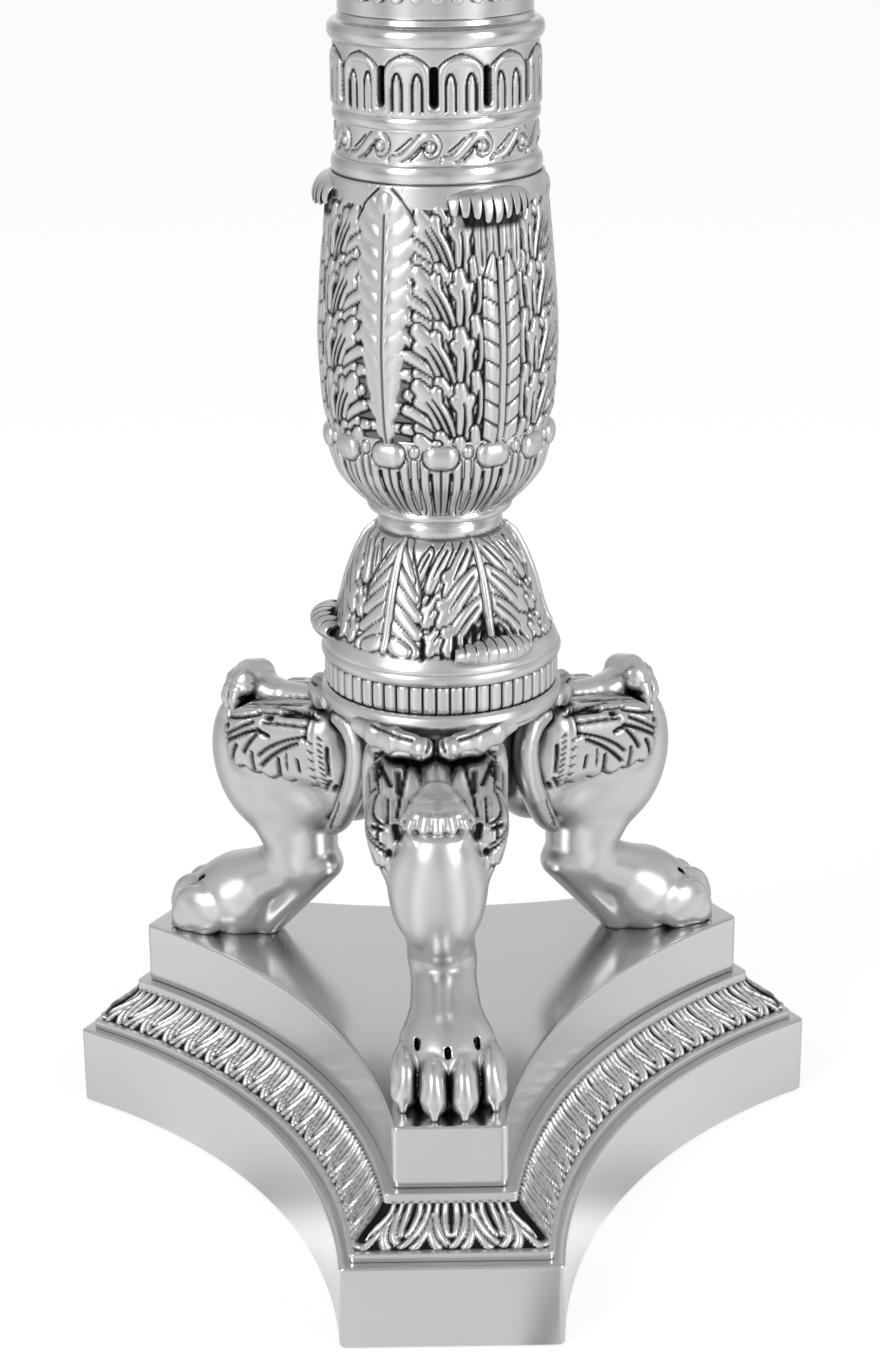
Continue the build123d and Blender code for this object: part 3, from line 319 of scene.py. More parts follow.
SMOOTH = silver("silver_polished", 0.2, False)
CARVED = silver("silver_patina_and_shade", 0.31, True)
# Dark silver that stands in for deep shade: painted shade.
DEEP_SHADE = plain("silver_painted_shade", (0.06, 0.06, 0.058), (0.13, 0.13, 0.125), 0.45, 1, 120)
STEEL = plain("steel", (0.5, 0.5, 0.51), (0.62, 0.62, 0.63), 0.32, 1, 200)
FELT = plain("felt", (0.035, 0.085, 0.05), (0.07, 0.15, 0.09), 0.92, 0, 900, 0.6)
WAX = plain("wax", (0.8, 0.74, 0.6), (0.86, 0.81, 0.69), 0.42, 0, 40, 0.08)
wax = WAX.node_tree.nodes["Principled BSDF"].inputs
wax["Subsurface Weight"].default_value = 0.25
wax["Subsurface Radius"].default_value = (0.006, 0.004, 0.002)
WICK = plain("wick", (0.02, 0.018, 0.015), (0.07, 0.06, 0.05), 0.9, 0, 1500, 0.8)
PARCHMENT = plain("parchment", (0.7, 0.61, 0.45), (0.8, 0.73, 0.58), 0.7, 0, 90, 0.25, (1, 1, 0.25))
BRAID = plain("braid", (0.34, 0.27, 0.16), (0.52, 0.43, 0.27), 0.8, 0, 700, 0.7)


# Meshes

def shape(name, verts, faces, nodes, material, patina=None, body="candlestick"):
    """A smooth-shaded piece from millimetre points and faces, riding on a body in place of CAD nodes."""
    faces = np.asarray(faces, np.int32)
    mesh = bpy.data.meshes.new(name)
    mesh.vertices.add(len(verts))
    mesh.vertices.foreach_set("co", (np.asarray(verts) * MM).astype(np.float32).ravel())
    mesh.loops.add(faces.size)
    mesh.loops.foreach_set("vertex_index", faces.ravel())
    mesh.polygons.add(len(faces))
    mesh.polygons.foreach_set("loop_start", np.arange(0, faces.size, faces.shape[1], dtype=np.int32))
    mesh.update(calc_edges=True)
    mesh.polygons.foreach_set("use_smooth", np.ones(len(faces), bool))
    if patina is not None:
        layer = mesh.attributes.new("patina", "FLOAT", "POINT")
        layer.data.foreach_set("value", np.asarray(patina, np.float32).ravel())
    mesh.materials.append(material)
    piece = bpy.data.objects.new(name, mesh)
    bpy.context.scene.collection.objects.link(piece)
    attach(piece, body)
    if nodes:
        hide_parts(*nodes)
    return piece


def ring_faces(rows, columns):
    """Quads of a grid that closes on itself both ways."""
    i, j = np.meshgrid(np.arange(rows), np.arange(columns), indexing="ij")
    i2, j2 = (i + 1) % rows, (j + 1) % columns
    corners = (i * columns + j, i * columns + j2, i2 * columns + j2, i2 * columns + j)
    return np.stack([c.ravel() for c in corners], axis=1)


def eased(points, radius, step):
    """A closed outline with its corners rounded, sampled at most every step."""
    p = np.asarray(points, float)
    runs = []
    for before, here, after in zip(np.roll(p, 1, axis=0), p, np.roll(p, -1, axis=0)):
        back, on = before - here, after - here
        reach_b, reach_o = norm(back), norm(on)
        back, on = back / reach_b, on / reach_o
        cut = min(radius, 0.45 * reach_b, 0.45 * reach_o)
        if abs(back[0] * on[1] - back[1] * on[0]) < 0.3:
            runs.append(here[None])
            continue
        runs.append(curve([here + back * cut, here, here + on * cut], 6))
    p = np.vstack(runs)
    out = []
    for a, b in zip(p, np.roll(p, -1, axis=0)):
        count = max(1, int(math.ceil(norm(b - a) / step)))
        out.append(a + (b - a) * (np.arange(count) / count)[:, None])
    return np.vstack(out)


def turned(name, outline, nodes, relief=None, material=None, count=192, radius=0.5, step=0.8):
    """A piece turned about the axis from a closed (r, z) outline that goes up its outer side."""
    p = eased(outline, radius, step)
    forward = np.roll(p, -1, axis=0) - np.roll(p, 1, axis=0)
    normal = np.stack([forward[:, 1], -forward[:, 0]], axis=1)
    normal /= np.maximum(norm(normal, axis=1, keepdims=True), 1e-9)
    phi = 2 * np.pi * np.arange(count) / count
    r, z = np.repeat(p[:, :1], count, axis=1), np.repeat(p[:, 1:], count, axis=1)
    patina = None
    if relief:
        lift, dark = relief(np.degrees(phi)[None], z)
        outer = ramp(0.05, 0.3, normal[:, :1])
        lift, patina = lift * outer, dark * outer
        r, z = r + lift * normal[:, :1], z + lift * normal[:, 1:]
    chosen = material or (CARVED if relief else SMOOTH)
    shape(name, about_axis(r, phi, z), ring_faces(len(p), count), nodes, chosen, patina)


def hoop(radius, low, high, swell=0, bore=STEM_BORE):
    """Outline of a band round the axis, its face swelling outward."""
    if not swell:
        return [(bore, low), (radius, low), (radius, high), (bore, high)]
    last, mid, half = 1.45, (low + high) / 2, (high - low) / 2
    face = [(radius - swell * (1 - math.cos(a)), mid + half * math.sin(a) / math.sin(last))
            for a in np.linspace(-last, last, 13)]
    return [(bore, low), *face, (bore, high)]


def finish_cad(material, *names):
    """Gives CAD nodes that stay in sight, or hidden inside, a material."""
    for node in names:
        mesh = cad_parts[node].data
        mesh.materials.clear()
        mesh.materials.append(material)


# Plinth

CORNER_REACH, CORNER_WIDTH, HOLLOW_REACH = 100, 53.6, 55.5
LAST_INSET = 24
SLOPE_Z, SLOPE_H, SIDE_LEAVES, END_LEAVES = 24.8, 8.2, 17, 4
SIN_60 = math.sin(math.pi / 3)


def plan(inset, end_count=48, side_count=150, cut=1.6):
    """The plinth's outline drawn in by inset, corners rounded, and each point's share along its end or side."""
    if inset > LAST_INSET:
        points, shares = plan(LAST_INSET, end_count, side_count, cut)
        return points * max(0.004, 1 - (inset - LAST_INSET) / 50), shares
    chord = CORNER_WIDTH / 2 * SIN_60 + CORNER_REACH / 2
    rise = chord - HOLLOW_REACH
    bow = (CORNER_REACH**2 + (CORNER_WIDTH / 2) ** 2 - chord**2 + rise**2) / (2 * rise)
    centre, hollow = HOLLOW_REACH + bow, bow + inset
    reach = CORNER_REACH - inset
    half = centre * SIN_60 - math.sqrt(hollow**2 - (reach - centre / 2) ** 2)
    swing = math.atan2(reach * SIN_60 - half / 2, centre - reach / 2 - half * SIN_60)
    trim = cut / hollow
    points, shares = [], []
    for side in LEG_TURNS.values():
        out, across = heading(side), heading(side + 90)
        away, hub = math.radians(side + 60), centre * heading(side + 60)

        def on_arc(a):
            return hub + hollow * np.stack([-np.cos(away - a), -np.sin(away - a)], axis=-1)

        end = np.linspace(-half + cut, half - cut, end_count)
        points.append(reach * out + end[:, None] * across)
        shares.append(np.stack([np.zeros(end_count), end / half], axis=1))
        points.append(curve([points[-1][-1], reach * out + half * across, on_arc(-swing + trim)], 9)[1:-1])
        shares.append([(0, 1)] * 4 + [(1, -1)] * 3)
        sweep = np.linspace(-swing + trim, swing - trim, side_count)
        points.append(on_arc(sweep))
        shares.append(np.stack([np.ones(side_count), sweep / swing], axis=1))
        next_end = reach * heading(side + 120) + half * heading(side + 30)
        points.append(curve([points[-1][-1], next_end, next_end - cut * heading(side + 30)], 9)[1:-1])
        shares.append([(1, 1)] * 3 + [(0, -1)] * 4)
    return np.vstack(points), np.vstack(shares)


def tier(name, profile, nodes, radius=0.9, step=1.2, relief=None, **counts):
    """A tier of the plinth: a closed (inset, z) profile, going up its outer side, carried round the plan."""
    profile = eased(profile, radius, step)
    rows = []
    for inset, z in profile:
        p, shares = plan(inset, **counts)
        rows.append(np.column_stack([p, np.full(len(p), z)]))
    grid, patina = np.array(rows), None
    if relief:
        forward = np.roll(profile, -1, axis=0) - np.roll(profile, 1, axis=0)
        forward /= norm(forward, axis=1, keepdims=True)
        ahead = np.roll(grid, -1, axis=1) - np.roll(grid, 1, axis=1)
        out = np.stack([ahead[..., 1], -ahead[..., 0]], axis=2)
        out /= norm(out, axis=2, keepdims=True)
        lift, patina = relief(shares[None], profile[:, None, 1], forward[:, None])
        grid[..., :2] += out * (lift * forward[:, None, 1])[..., None]
        grid[..., 2] += lift * forward[:, None, 0]
    faces = ring_faces(len(rows), len(rows[0]))
    shape(name, grid.reshape(-1, 3), faces, nodes, CARVED if relief else SMOOTH, patina)


tier("lower_tier", [(4, 0.6), (0, 0.6), (0, 22.4), (20, 22.4), (20, 18.4), (4, 18.4)], ["lower_plinth"])
tier("upper_tier", [(18.4, STEP_Z), (14.4, STEP_Z), (14.4, PLINTH_TOP), (73.8, PLINTH_TOP), (73.8, 47.7), (18.4, 47.7)],
     ["upper_plinth"], 0.7)

# One leaf and half a dart each side of it; the leaf's point hangs down
moulding = Canvas(9.4, 11.2, 0.12)
for side in (-1, 1):
    moulding.stroke(flip(side, (4.7, 8), (4.6, 4), (2.6, 0.6)), [0.4, 0.6, 0.8], 0.8, 0.4)
    moulding.stroke(flip(side, (3.5, 11), (4.4, 6), (0.2, 0.9)), [0.6, 0.75, 0.65], 1.1, 0.4, 0.35)
    moulding.stroke(flip(side, (1.3, 11), (1.9, 7), (0.6, 3.6)), [0.75, 0.8, 0.5], 0.95, 0.4, 0.25)
moulding.settle(0.35)


def leaf_border(shares, z, forward):
    on_side = shares[..., 0] > 0.5
    phase = shares[..., 1] * np.where(on_side, SIDE_LEAVES, END_LEAVES) / 2 + np.where(on_side, 0.5, 0)
    u = (phase - np.round(phase)) * moulding.width
    u, v = np.broadcast_arrays(u, (z - SLOPE_Z) / SLOPE_H * moulding.height)
    sloped = (forward[..., 0] > 0.25) & (v > 0) & (v < moulding.height)
    return moulding.within(u, v, sloped)


slope = [(4.2 + 7.6 * t - 0.65 * math.sin(2 * math.pi * t), SLOPE_Z + SLOPE_H * t) for t in np.linspace(0, 1, 27)]
tier("leaf_border", [(16, 22.4), (2.6, 22.4), (2.6, 24.6), *slope, (11.8, STEP_Z), (16, STEP_Z)], ["leaf_moulding"],
     0.35, 4, leaf_border, end_count=90, side_count=330)


# Paw legs, as a solid blended from simple ones

def ball(p, centre, radii):
    q = (p - np.array(centre)) / np.array(radii)
    far = np.sqrt((q * q).sum(-1))
    return far * (far - 1) / np.maximum(np.sqrt(((q / np.array(radii)) ** 2).sum(-1)), 1e-6)


def limb(p, a, b, ra, rb, flat=1):
    """A round-ended cone from a to b; flat stretches it sideways."""
    squash = np.array([1, 1 / flat, 1])
    q, run = (p - np.array(a, float)) * squash, (np.array(b, float) - np.array(a, float)) * squash
    t = np.clip((q @ run) / (run @ run), 0, 1)
    return np.sqrt(((q - t[..., None] * run) ** 2).sum(-1)) - (ra + (rb - ra) * t)


def blend(a, b, soft):
    h = np.maximum(soft - np.abs(a - b), 0) / soft
    return np.minimum(a, b) - h * h * soft / 4


def ribbon(p, path, wide, mid, thick):
    """A band along a curve in the leg's own plane, set out to each side at distance mid."""
    count = 56
    line, wide, mid = curve(path, count), along(wide, count), along(mid, count)
    far = np.hypot(p[..., None, 0] - line[:, 0], p[..., None, 2] - line[:, 1]) / wide
    best = far.argmin(-1)
    near = np.take_along_axis(far, best[..., None], -1)[..., 0]
    side = (p[..., 1] - mid[best]) / thick
    return (np.sqrt(near * near + side * side) - 1) * np.minimum(wide[best], thick)


def block(p, centre, half, rounded):
    q = np.abs(p - np.array(centre)) - (np.array(half) - rounded)
    return norm(np.maximum(q, 0), axis=-1) + np.minimum(q.max(-1), 0) - rounded


CRESCENT = [(22.2, 123.6), (17.9, 121), (15.9, 116.3), (16.6, 109), (19.1, 102.4), (23.4, 94.7), (28, 90)]
CRESCENT_WIDTHS, CRESCENT_REACH = [2.6, 3.2, 3.4, 3.3, 3.1, 2.7, 2], [12.4, 13.8, 14.6, 14.6, 14, 12, 8]
SWAG = np.array([(33.2, 5.2, 127.8), (31, 10, 128.2), (27.2, 15.2, 129), (22.6, 19.6, 129.8)])
THIGH_LEVELS, THIGH_WIDTHS = [100, 103, 106.6, 110, 114], [12.4, 13.6, 15, 15.9, 16.6]


def leg_solid(p):
    """Signed distance to the leg, its foot pointing along +x."""
    p = np.stack([p[..., 0], np.abs(p[..., 1]), p[..., 2]], axis=-1)
    tilted = p + (p[..., :1] - 42) * np.array([0, 0, 0.13])
    tilted[..., 1] *= 16.6 / np.interp(p[..., 2], THIGH_LEVELS, THIGH_WIDTHS)
    thigh = block(tilted, (40, 0, 110.8), (18, 16.6, 11.4), 6.5)
    thigh = blend(thigh, ball(p, (45, 0, 99), (20, 12.4, 14.5)), 4)
    thigh = blend(thigh, ball(p, (26, 0, 107), (11, 13, 17)), 4)
    leaned = p - (p[..., 2:] - 101.5) * np.array([0.18, 0, 0])
    shank = blend(limb(p, (51.5, 0, 93), (44.6, 0, 78), 9.8, 7.7), limb(p, (42, 0, 93), (40.6, 0, 77.5), 9, 7.4), 4)
    d = blend(blend(thigh, shank, 3), ball(leaned, (55.6, 0, 101), (12.6, 12, 19.5)), 1.5)
    foot = blend(limb(p, (43, 0, 74), (62, 0, 64), 7.2, 8.6, 1.08), ball(p, (64, 0, 60), (13.5, 12.2, 10.8)), 4)
    d = blend(d, foot, 3)
    d = blend(d, limb(p, (36, 0, 75), (54, 0, 55.5), 4.6, 4.6, 1.25), 1.6)
    for y, x, out in ((3.6, 74.6, 0), (10.2, 70, 1)):
        d = blend(d, ball(p, (x, y, 58.2), (8.2, 3.9, 7)), 1)
        d = blend(d, ball(p, (x + 4.6, y + 0.3 * out, 56), (4.2, 3.5, 4.6)), 1)
        d = blend(d, limb(p, (x + 6.6, y + 0.4 * out, 56), (x + 8, y + 0.8 * out, 52.6), 1.7, 1), 0.5)
    for x, y, z in ((73.6, 0, 65.2), (70, 6.9, 65.6)):
        d = np.maximum(d, -ball(p, (x, y, z), (2.6, 1, 1.8)))
    d = blend(d, ribbon(p, CRESCENT, CRESCENT_WIDTHS, CRESCENT_REACH, 3.8), 0.5)
    d = blend(d, limb(p, (20, 0, 121.6), (50, 0, 121), 3.8, 3.7), 0.8)
    d = blend(d, limb(p, (50, 0, 121.2), (55, 0, 123), 3.7, 3.6, 1.3), 1.2)
    d = blend(d, limb(p, (58, 0, 124.6), (57, 3.2, 124.4), 4.5, 4.1), 1)
    for turn in (0, 26, 52, 78):
        c, s = heading(turn)
        top, lip, tip = ((56.6 + r * c, r * s, z) for r, z in ((5.8, 124.6), (7, 120.2), (6.9, 117.2)))
        d = blend(d, limb(p, top, lip, 1.6, 1.6), 0.8)
        d = blend(d, limb(p, lip, tip, 1.6, 1), 0.3)
    d = blend(d, ball(p, (34, 3.3, 127.4), (2.9, 3.1, 3.1)), 0.4)
    upright = np.array([1, 1, 0.62])
    swag = [limb(p * upright, a * upright, b * upright, *radii)
            for a, b, radii in zip(SWAG, SWAG[1:], ((2.1, 2.2), (2.2, 1.7), (1.7, 1.3)))]
    d = blend(d, blend(blend(swag[0], swag[1], 1.5), swag[2], 1.5), 0.4)
    return np.maximum(d, PLINTH_TOP - p[..., 2])


def slopes(solid, verts, step=0.25):
    grad = np.stack([solid(verts + step * e) - solid(verts - step * e) for e in np.eye(3)], axis=1)
    return grad / np.maximum(norm(grad, axis=1, keepdims=True), 1e-9)


def wrapped(solid, low, high, step):
    """A quad mesh round a signed distance, which stays clear of the box's sides, and its outward directions."""
    axes = [np.arange(a, b + step, step) for a, b in zip(low, high)]
    f = np.stack([solid(np.stack(np.meshgrid([x], axes[1], axes[2], indexing="ij"), -1))[0] for x in axes[0]])
    inside = f < 0
    cells = tuple(n - 1 for n in f.shape)
    total, hits = np.zeros((*cells, 3)), np.zeros(cells)
    crossings = []
    for axis in range(3):
        first, second = [slice(None)] * 3, [slice(None)] * 3
        first[axis], second[axis] = slice(0, -1), slice(1, None)
        at = np.argwhere(inside[tuple(first)] != inside[tuple(second)])
        v0, v1 = f[tuple(first)][tuple(at.T)], f[tuple(second)][tuple(at.T)]
        spot = at.astype(float)
        spot[:, axis] += v0 / (v0 - v1)
        beside = [(axis + 1) % 3, (axis + 2) % 3]
        ring = []
        for corner in ((1, 1), (0, 1), (0, 0), (1, 0)):
            cell = at.copy()
            cell[:, beside] -= corner
            ring.append(tuple(cell.T))
            np.add.at(total, ring[-1], spot)
            np.add.at(hits, ring[-1], 1)
        crossings.append((ring, v0 < 0))
    live = hits > 0
    index = np.full(cells, -1)
    index[live] = np.arange(live.sum())
    verts = np.array(low) + total[live] / hits[live][:, None] * step
    faces = []
    for ring, leaving in crossings:
        quad = np.stack([index[cell] for cell in ring], axis=1)
        faces.append(np.where(leaving[:, None], quad, quad[:, ::-1]))
    for _ in range(3):
        verts = verts - (0.9 * solid(verts))[:, None] * slopes(solid, verts)
    return verts, np.vstack(faces), slopes(solid, verts)


# Leaves on the flank of a leg, over x 14 to 86 and z 52 to 128
flank = Canvas(72, 76, 0.25, wrap=False)
FLANK_X, FLANK_Z = 50, 52


def on_flank(x, z):
    return (x - FLANK_X, z - FLANK_Z)


x_of = flank.u + FLANK_X
scallop = np.interp(x_of, [26, 30, 36, 40, 45, 48, 55, 60, 66],
                    [103.4, 103.7, 104.5, 104.8, 104.6, 105.5, 106.4, 106.8, 109])
scallop = scallop - 1.3 * np.abs(np.sin(math.pi * (x_of - 30) / 5.2))
flank.h = 0.8 * ramp(0, 0.8, flank.v[None] + FLANK_Z - scallop[:, None]) * ramp(28.4, 29.2, x_of)[:, None]
edge = slice(60, 208, 3)
flank.vein([on_flank(x, z - 0.4) for x, z in zip(x_of[edge], scallop[edge])], 0.32, 0.2)
for width, *path in (
    (0.3, (56.4, 124.1), (50.7, 125.1)), (0.35, (56.5, 120.8), (51.8, 122.8), (46.4, 124.3)),
    (0.45, (52.1, 121), (50, 121.5)),
    (0.25, (45.6, 122.3), (40.2, 123.9), (35.3, 125.5)), (0.25, (40.2, 122.4), (36.9, 123.9)),
    (0.3, (57.3, 117.5), (51.5, 118.5), (45.6, 120.3)), (0.45, (43.2, 120), (41.7, 120.1)),
    (0.3, (39.2, 121.4), (31.5, 122.8)),
    (0.5, (59, 116), (54.7, 116.1)), (0.35, (59, 110.7), (53.4, 115.8), (47.1, 118.5)),
    (0.42, (58.6, 109.6), (52.2, 114.6), (45.9, 116.8)), (0.5, (45.6, 117), (41.9, 116)),
    (0.25, (43.9, 118.8), (38.1, 119.5), (31.2, 120)),
    (0.35, (45.5, 109.8), (40.4, 115.2), (30.6, 117.7)), (0.4, (45.2, 106.8), (39.7, 112.7), (33.1, 115.6)),
    (0.42, (52, 111.8), (53.7, 109.6), (54.4, 106.8)), (0.42, (45.7, 115.7), (48.7, 112.5), (50, 110)),
    (0.38, (47.5, 110.5), (48.1, 107.8), (47.7, 104.8)), (0.45, (39.5, 110.1), (39.9, 105.2)),
    (0.42, (33.6, 110.8), (33.5, 107.5)),
    (0.25, (36.7, 112.3), (37.3, 107.4)), (0.3, (30.4, 122.9), (30.8, 116.9)), (0.3, (27.6, 101.9), (25.1, 105.4)),
    (0.35, (25, 115), (25.2, 107.2)), (0.7, (24.5, 102.1), (23.9, 103.4)),
    (0.4, (26.6, 91.6), (23.2, 96.8), (21.5, 101.2)),
):
    flank.vein([on_flank(*q) for q in path], 1.5 * width, 0.9)
for x, step in ((29.4, 2.5), (26.8, 1.7)):
    for z in np.arange(104, 118.5, step):
        flank.vein([on_flank(x - 0.5, z - 0.4), on_flank(x + 0.5, z + 0.4)], 0.36, 0.5)
flank.settle(0)

# Lines on the front of the thigh beside its curled leaf, as seen from a little above
brow = Canvas(36, 48, 0.2, wrap=False)
BROW_FOOT, BROW_X, BROW_LOOK = 80, 33, np.array([0.94, 0, 0.342])
for side in (-1, 1):
    for width, *path in (
        (0.45, (5.8, 121.7), (10.8, 122.7), (15.7, 125.9)), (0.35, (1.6, 122.5), (0.9, 120.4), (2.4, 118.4)),
        (0.5, (4.3, 116.2), (3.5, 112), (2.8, 107.6)), (0.6, (6.9, 116.4), (8.2, 111), (9.6, 105.1)),
        (0.7, (9.2, 114), (9.2, 109.8)), (0.75, (13.9, 115.9), (11.2, 111.3)), (0.45, (11.8, 108), (12, 103)),
        (0.5, (6.4, 107.6), (7.8, 104.9)), (0.5, (4.4, 108.6), (5.4, 106.9)), (1.3, (10, 102.2), (9.6, 98.8)),
        (0.8, (11.8, 95.5), (11.8, 94.7)), (0.6, (12.2, 92), (12.2, 91)), (0.6, (14.7, 118), (14.3, 112.1)),
        (0.35, (14.1, 112.5), (13.7, 108.8)), (0.4, (14.2, 102.6), (14, 98)),
    ):
        brow.vein([(side * y, s - BROW_FOOT) for y, s in path], width, 0.8)

FRONT_LEAN, FRONT_DROP, CREASE = 2, 5.4, 1.6
verts, faces, normal = wrapped(leg_solid, (10, -24, 50), (90, 24, 135), 0.5)
x, y, z = verts.T
beside, sideways = np.abs(y), np.abs(normal[:, 1])
on_sides = ramp(0.2, 0.45, sideways) * ramp(86, 88, z) * (1 - ramp(123.4, 124.2, z))
on_sides = on_sides * np.maximum(ramp(11.5, 13, beside), ramp(114, 117, z) * ramp(4.5, 6, beside))
on_front = ramp(0.12, 0.32, normal @ BROW_LOOK) * ramp(101, 103, z)
on_front = on_front * (1 - ramp(0.65, 0.8, sideways)) * (1 - ramp(61, 62.5, x))
on_front = on_front * (1 - ramp(50.5, 52.5, x) * ramp(121.3, 122.3, z))
lift = 0
patina = np.clip(1.35 * (1 - leg_solid(verts + CREASE * normal) / CREASE) - 0.12, 0, 1)
for canvas, u, v, cover in (
    (flank, *on_flank(x, z), on_sides),
    (brow, y, BROW_LOOK[0] * z - BROW_LOOK[2] * (x - BROW_X) - BROW_FOOT, on_front),
):
    lift = lift + canvas.read(canvas.h, u, v) * cover
    patina = np.maximum(patina, canvas.read(canvas.dark, u, v) * cover)
x, y, z = (verts + lift[:, None] * normal).T
for name, turn in LEG_TURNS.items():
    c, s = heading(turn)
    placed = np.stack([c * x - s * y, s * x + c * y, z], axis=1)
    if name == "leg_front":
        placed[:, 0] -= FRONT_LEAN * ramp(58, 95, z)
        placed[:, 2] -= FRONT_DROP * ramp(50, 56, x) * np.clip((z - 116) / 13, 0, 1)
    shape("paw_" + name, placed, faces, [name], CARVED, patina)

# Painted shade: a dark core fills the deep shade between the legs under the collar.
turned("hub_core", [(4.5, 89.5), (12, 89.5), (15, 95), (17.2, 104), (18.5, 114), (18.5, COLLAR_Z), (4.5, COLLAR_Z)],
       ["leg_hub"], material=DEEP_SHADE)


# Collar

bars = Canvas(3.46, 17.1, 0.08)
bars.stroke([(0, 8.4), (0, 13)], 1.45, 0.7, 0.2)
bars.h += np.where((bars.v > 6.7) & (bars.v < 14.5), 0, 0.45)[None]
bars.settle(0.3)
turned("bar_collar", [(18, COLLAR_Z), (26.5, COLLAR_Z), (27, 129.2), (28.6, 129.5), (29.9, 130.5), (30.3, 131.8),
                      (29.9, 133.2), (29, 134), (28.8, 134.3), (28.8, 141.8), (29.2, 142), (29.7, 142.7),
                      (29.9, 143.5), (29.6, 144.3), (29.2, BELL_Z), (18, BELL_Z)],
       ["fluted_collar"], bars.round_axis(COLLAR_Z, 54), count=594, radius=0.3)


# Leaf bell: hanging leaves at 28 degrees and every 120, ribbed leaves between them

bell = Canvas(50, 29.8)
bell.h += 0.34
for side in (-1, 1):
    for u0, v0, u1, v1, width in (
        (15, 28, 18.2, 21.5, 1.3), (15.2, 20, 18.3, 13, 1.3), (14.8, 12, 18, 5.8, 1.3),
        (9, 29, 15, 20, 1.6), (10.5, 19, 15.6, 12, 1.7), (10, 12, 14.6, 5.6, 1.7),
        (2.2, 29, 10, 19, 2), (2, 23, 11.6, 12, 2.2), (1.8, 16, 10.2, 5.8, 2.2), (1.8, 11, 5.6, 5, 1.6),
    ):
        bell.leaf((u0 * side, v0), (u1 * side, v1), 0.12 * side, width, 0.85, 0.5, (0,), 0.42, width > 1.65)
bell.stroke([(0, 29.8), (0, 6)], [0.7, 1, 0.8], 1.2, 0.4, 0.4)
for rib in (-25, 25):
    bell.stroke([(rib, 30), (rib, 22), (rib, 13), (rib, 5.5)], [2.6, 5.5, 8, 7, 3], 0.5, 0.2, 0.5)
for side, rib in ((-1, -25), (1, 25)):
    for k in range(7):
        v = 32 - 4.2 * k
        wide = np.interp(v - 4, [0, 6, 14, 22, 30], [3.5, 7, 7.6, 5.4, 2.6])
        bell.leaf((rib - 0.8 * side, v), (rib - wide * side, max(v - 6.2, 5)), 0.06 * side, 1.7, 0.8, 0.4, ())
for rib in (-25, 25):
    bell.stroke([(rib, 29.8), (rib, 4.6)], [0.9, 1.1, 0.7], 1.3, 0.4, 0.35)
bell.h[:, bell.v < 3.6] = 0.45
bell.dark[:, bell.v < 3.6] = 0
bell.settle()
shadow = np.maximum(0, 1 - ((bell.u + 2) / 8) ** 2)[:, None] * ramp(4.5, 6.5, bell.v) * (1 - ramp(9, 12, bell.v))
bell.dark = np.maximum(bell.dark, np.where(bell.h < 0.7, np.minimum(0.9, 2 * shadow), 0.35 * shadow))
for width, *path in (
    (0.7, (-16.2, 8), (-16, 3.8)), (0.6, (-11.9, 4.8), (-11.9, 4)), (0.9, (-8.8, 8.5), (-9, 4.2)),
    (0.6, (-6.5, 8.3), (-6.5, 7.2)), (1, (-4, 10.7), (-4.4, 7.7)), (0.9, (-1.5, 12.5), (-2.7, 5.4)),
    (0.8, (1.6, 9.9), (1.9, 6)), (0.7, (3.4, 8.2), (3.8, 6.4)), (0.7, (5.6, 8.4), (6.6, 6.2)),
    (0.6, (8, 7.2), (8.9, 5.4)),
):
    bell.vein(path, width, 0.5)
bell_skin = curve([(29.2, BELL_Z), (28.9, 146), (27.3, 148.8), (25.9, 151.6), (24.3, 156.9), (22.9, 162.1),
                   (20.9, 167.4), (19.6, 170), (18, 172.8), (16, 174.4)], 84)
turned("bell_of_leaves", [(24, BELL_Z), *bell_skin, (10, 174.4), (10, 171), (14.5, 171)], ["leaf_bell"],
       bell.round_axis(BELL_Z, 3, 28), count=600, step=1)

turned("neck_rings", [(ROD_BORE, NECK_Z), (14.4, NECK_Z), (15.4, 175.2), (15.7, 176.6), (15.4, 178), (14.9, 179),
                      (16.4, 179.2), (17.8, 180), (18.2, 181), (17.6, 182.1), (16.9, 182.5), (ROD_BORE, 182.5)],
       ["neck_ring"], radius=0.3, step=0.35)


# Petal cup

petals = Canvas(13.2, 20.2, 0.15)
petals.h += 0.3
for side in (-1, 1):
    petals.stroke(flip(side, (6.6, 2), (6.6, 15.5)), [0.3, 0.9, 0.7], 0.7, 0.4, 0.3)
    petals.stroke(flip(side, (6.6, 17.6), (6.6, 18.2)), 1.2, 1, 0.5, 0.3)
    petals.stroke(flip(side, (4.6, -0.5), (3.7, 2.6), (4.1, 9), (3.9, 15.5)), [0.9, 0.8, 0.9, 1], 0.95, 0.4, 0.4)
    petals.vein(flip(side, (2, 0.5), (2.3, 12.6)), 0.4, 0.4)
petals.vein([(0, 0.5), (0, 13)], 0.4, 0.4)
petals.stroke([(-1.3, 16.8), (1.3, 16.8)], 3.1, 1.9, 0.5, 0.4)
petals.settle(0.25)
cup = curve([(17.2, CUP_Z), (20.9, 185.6), (25, 190.8), (26.6, 195.5), (26.9, 199.5), (26.8, 202.4)], 74)
turned("cup_of_petals", [(10, CUP_Z), *cup, (24.5, 202.6), (10, VASE_Z)], ["petal_cup"],
       petals.round_axis(CUP_Z, 13), count=624, step=1.5)


# Vase: a narrow leaf at 31.5 degrees and every 120, a broad leaf between. The canvas wraps, so what is drawn at its
# two edges falls on one place, and cuts there go twice as deep

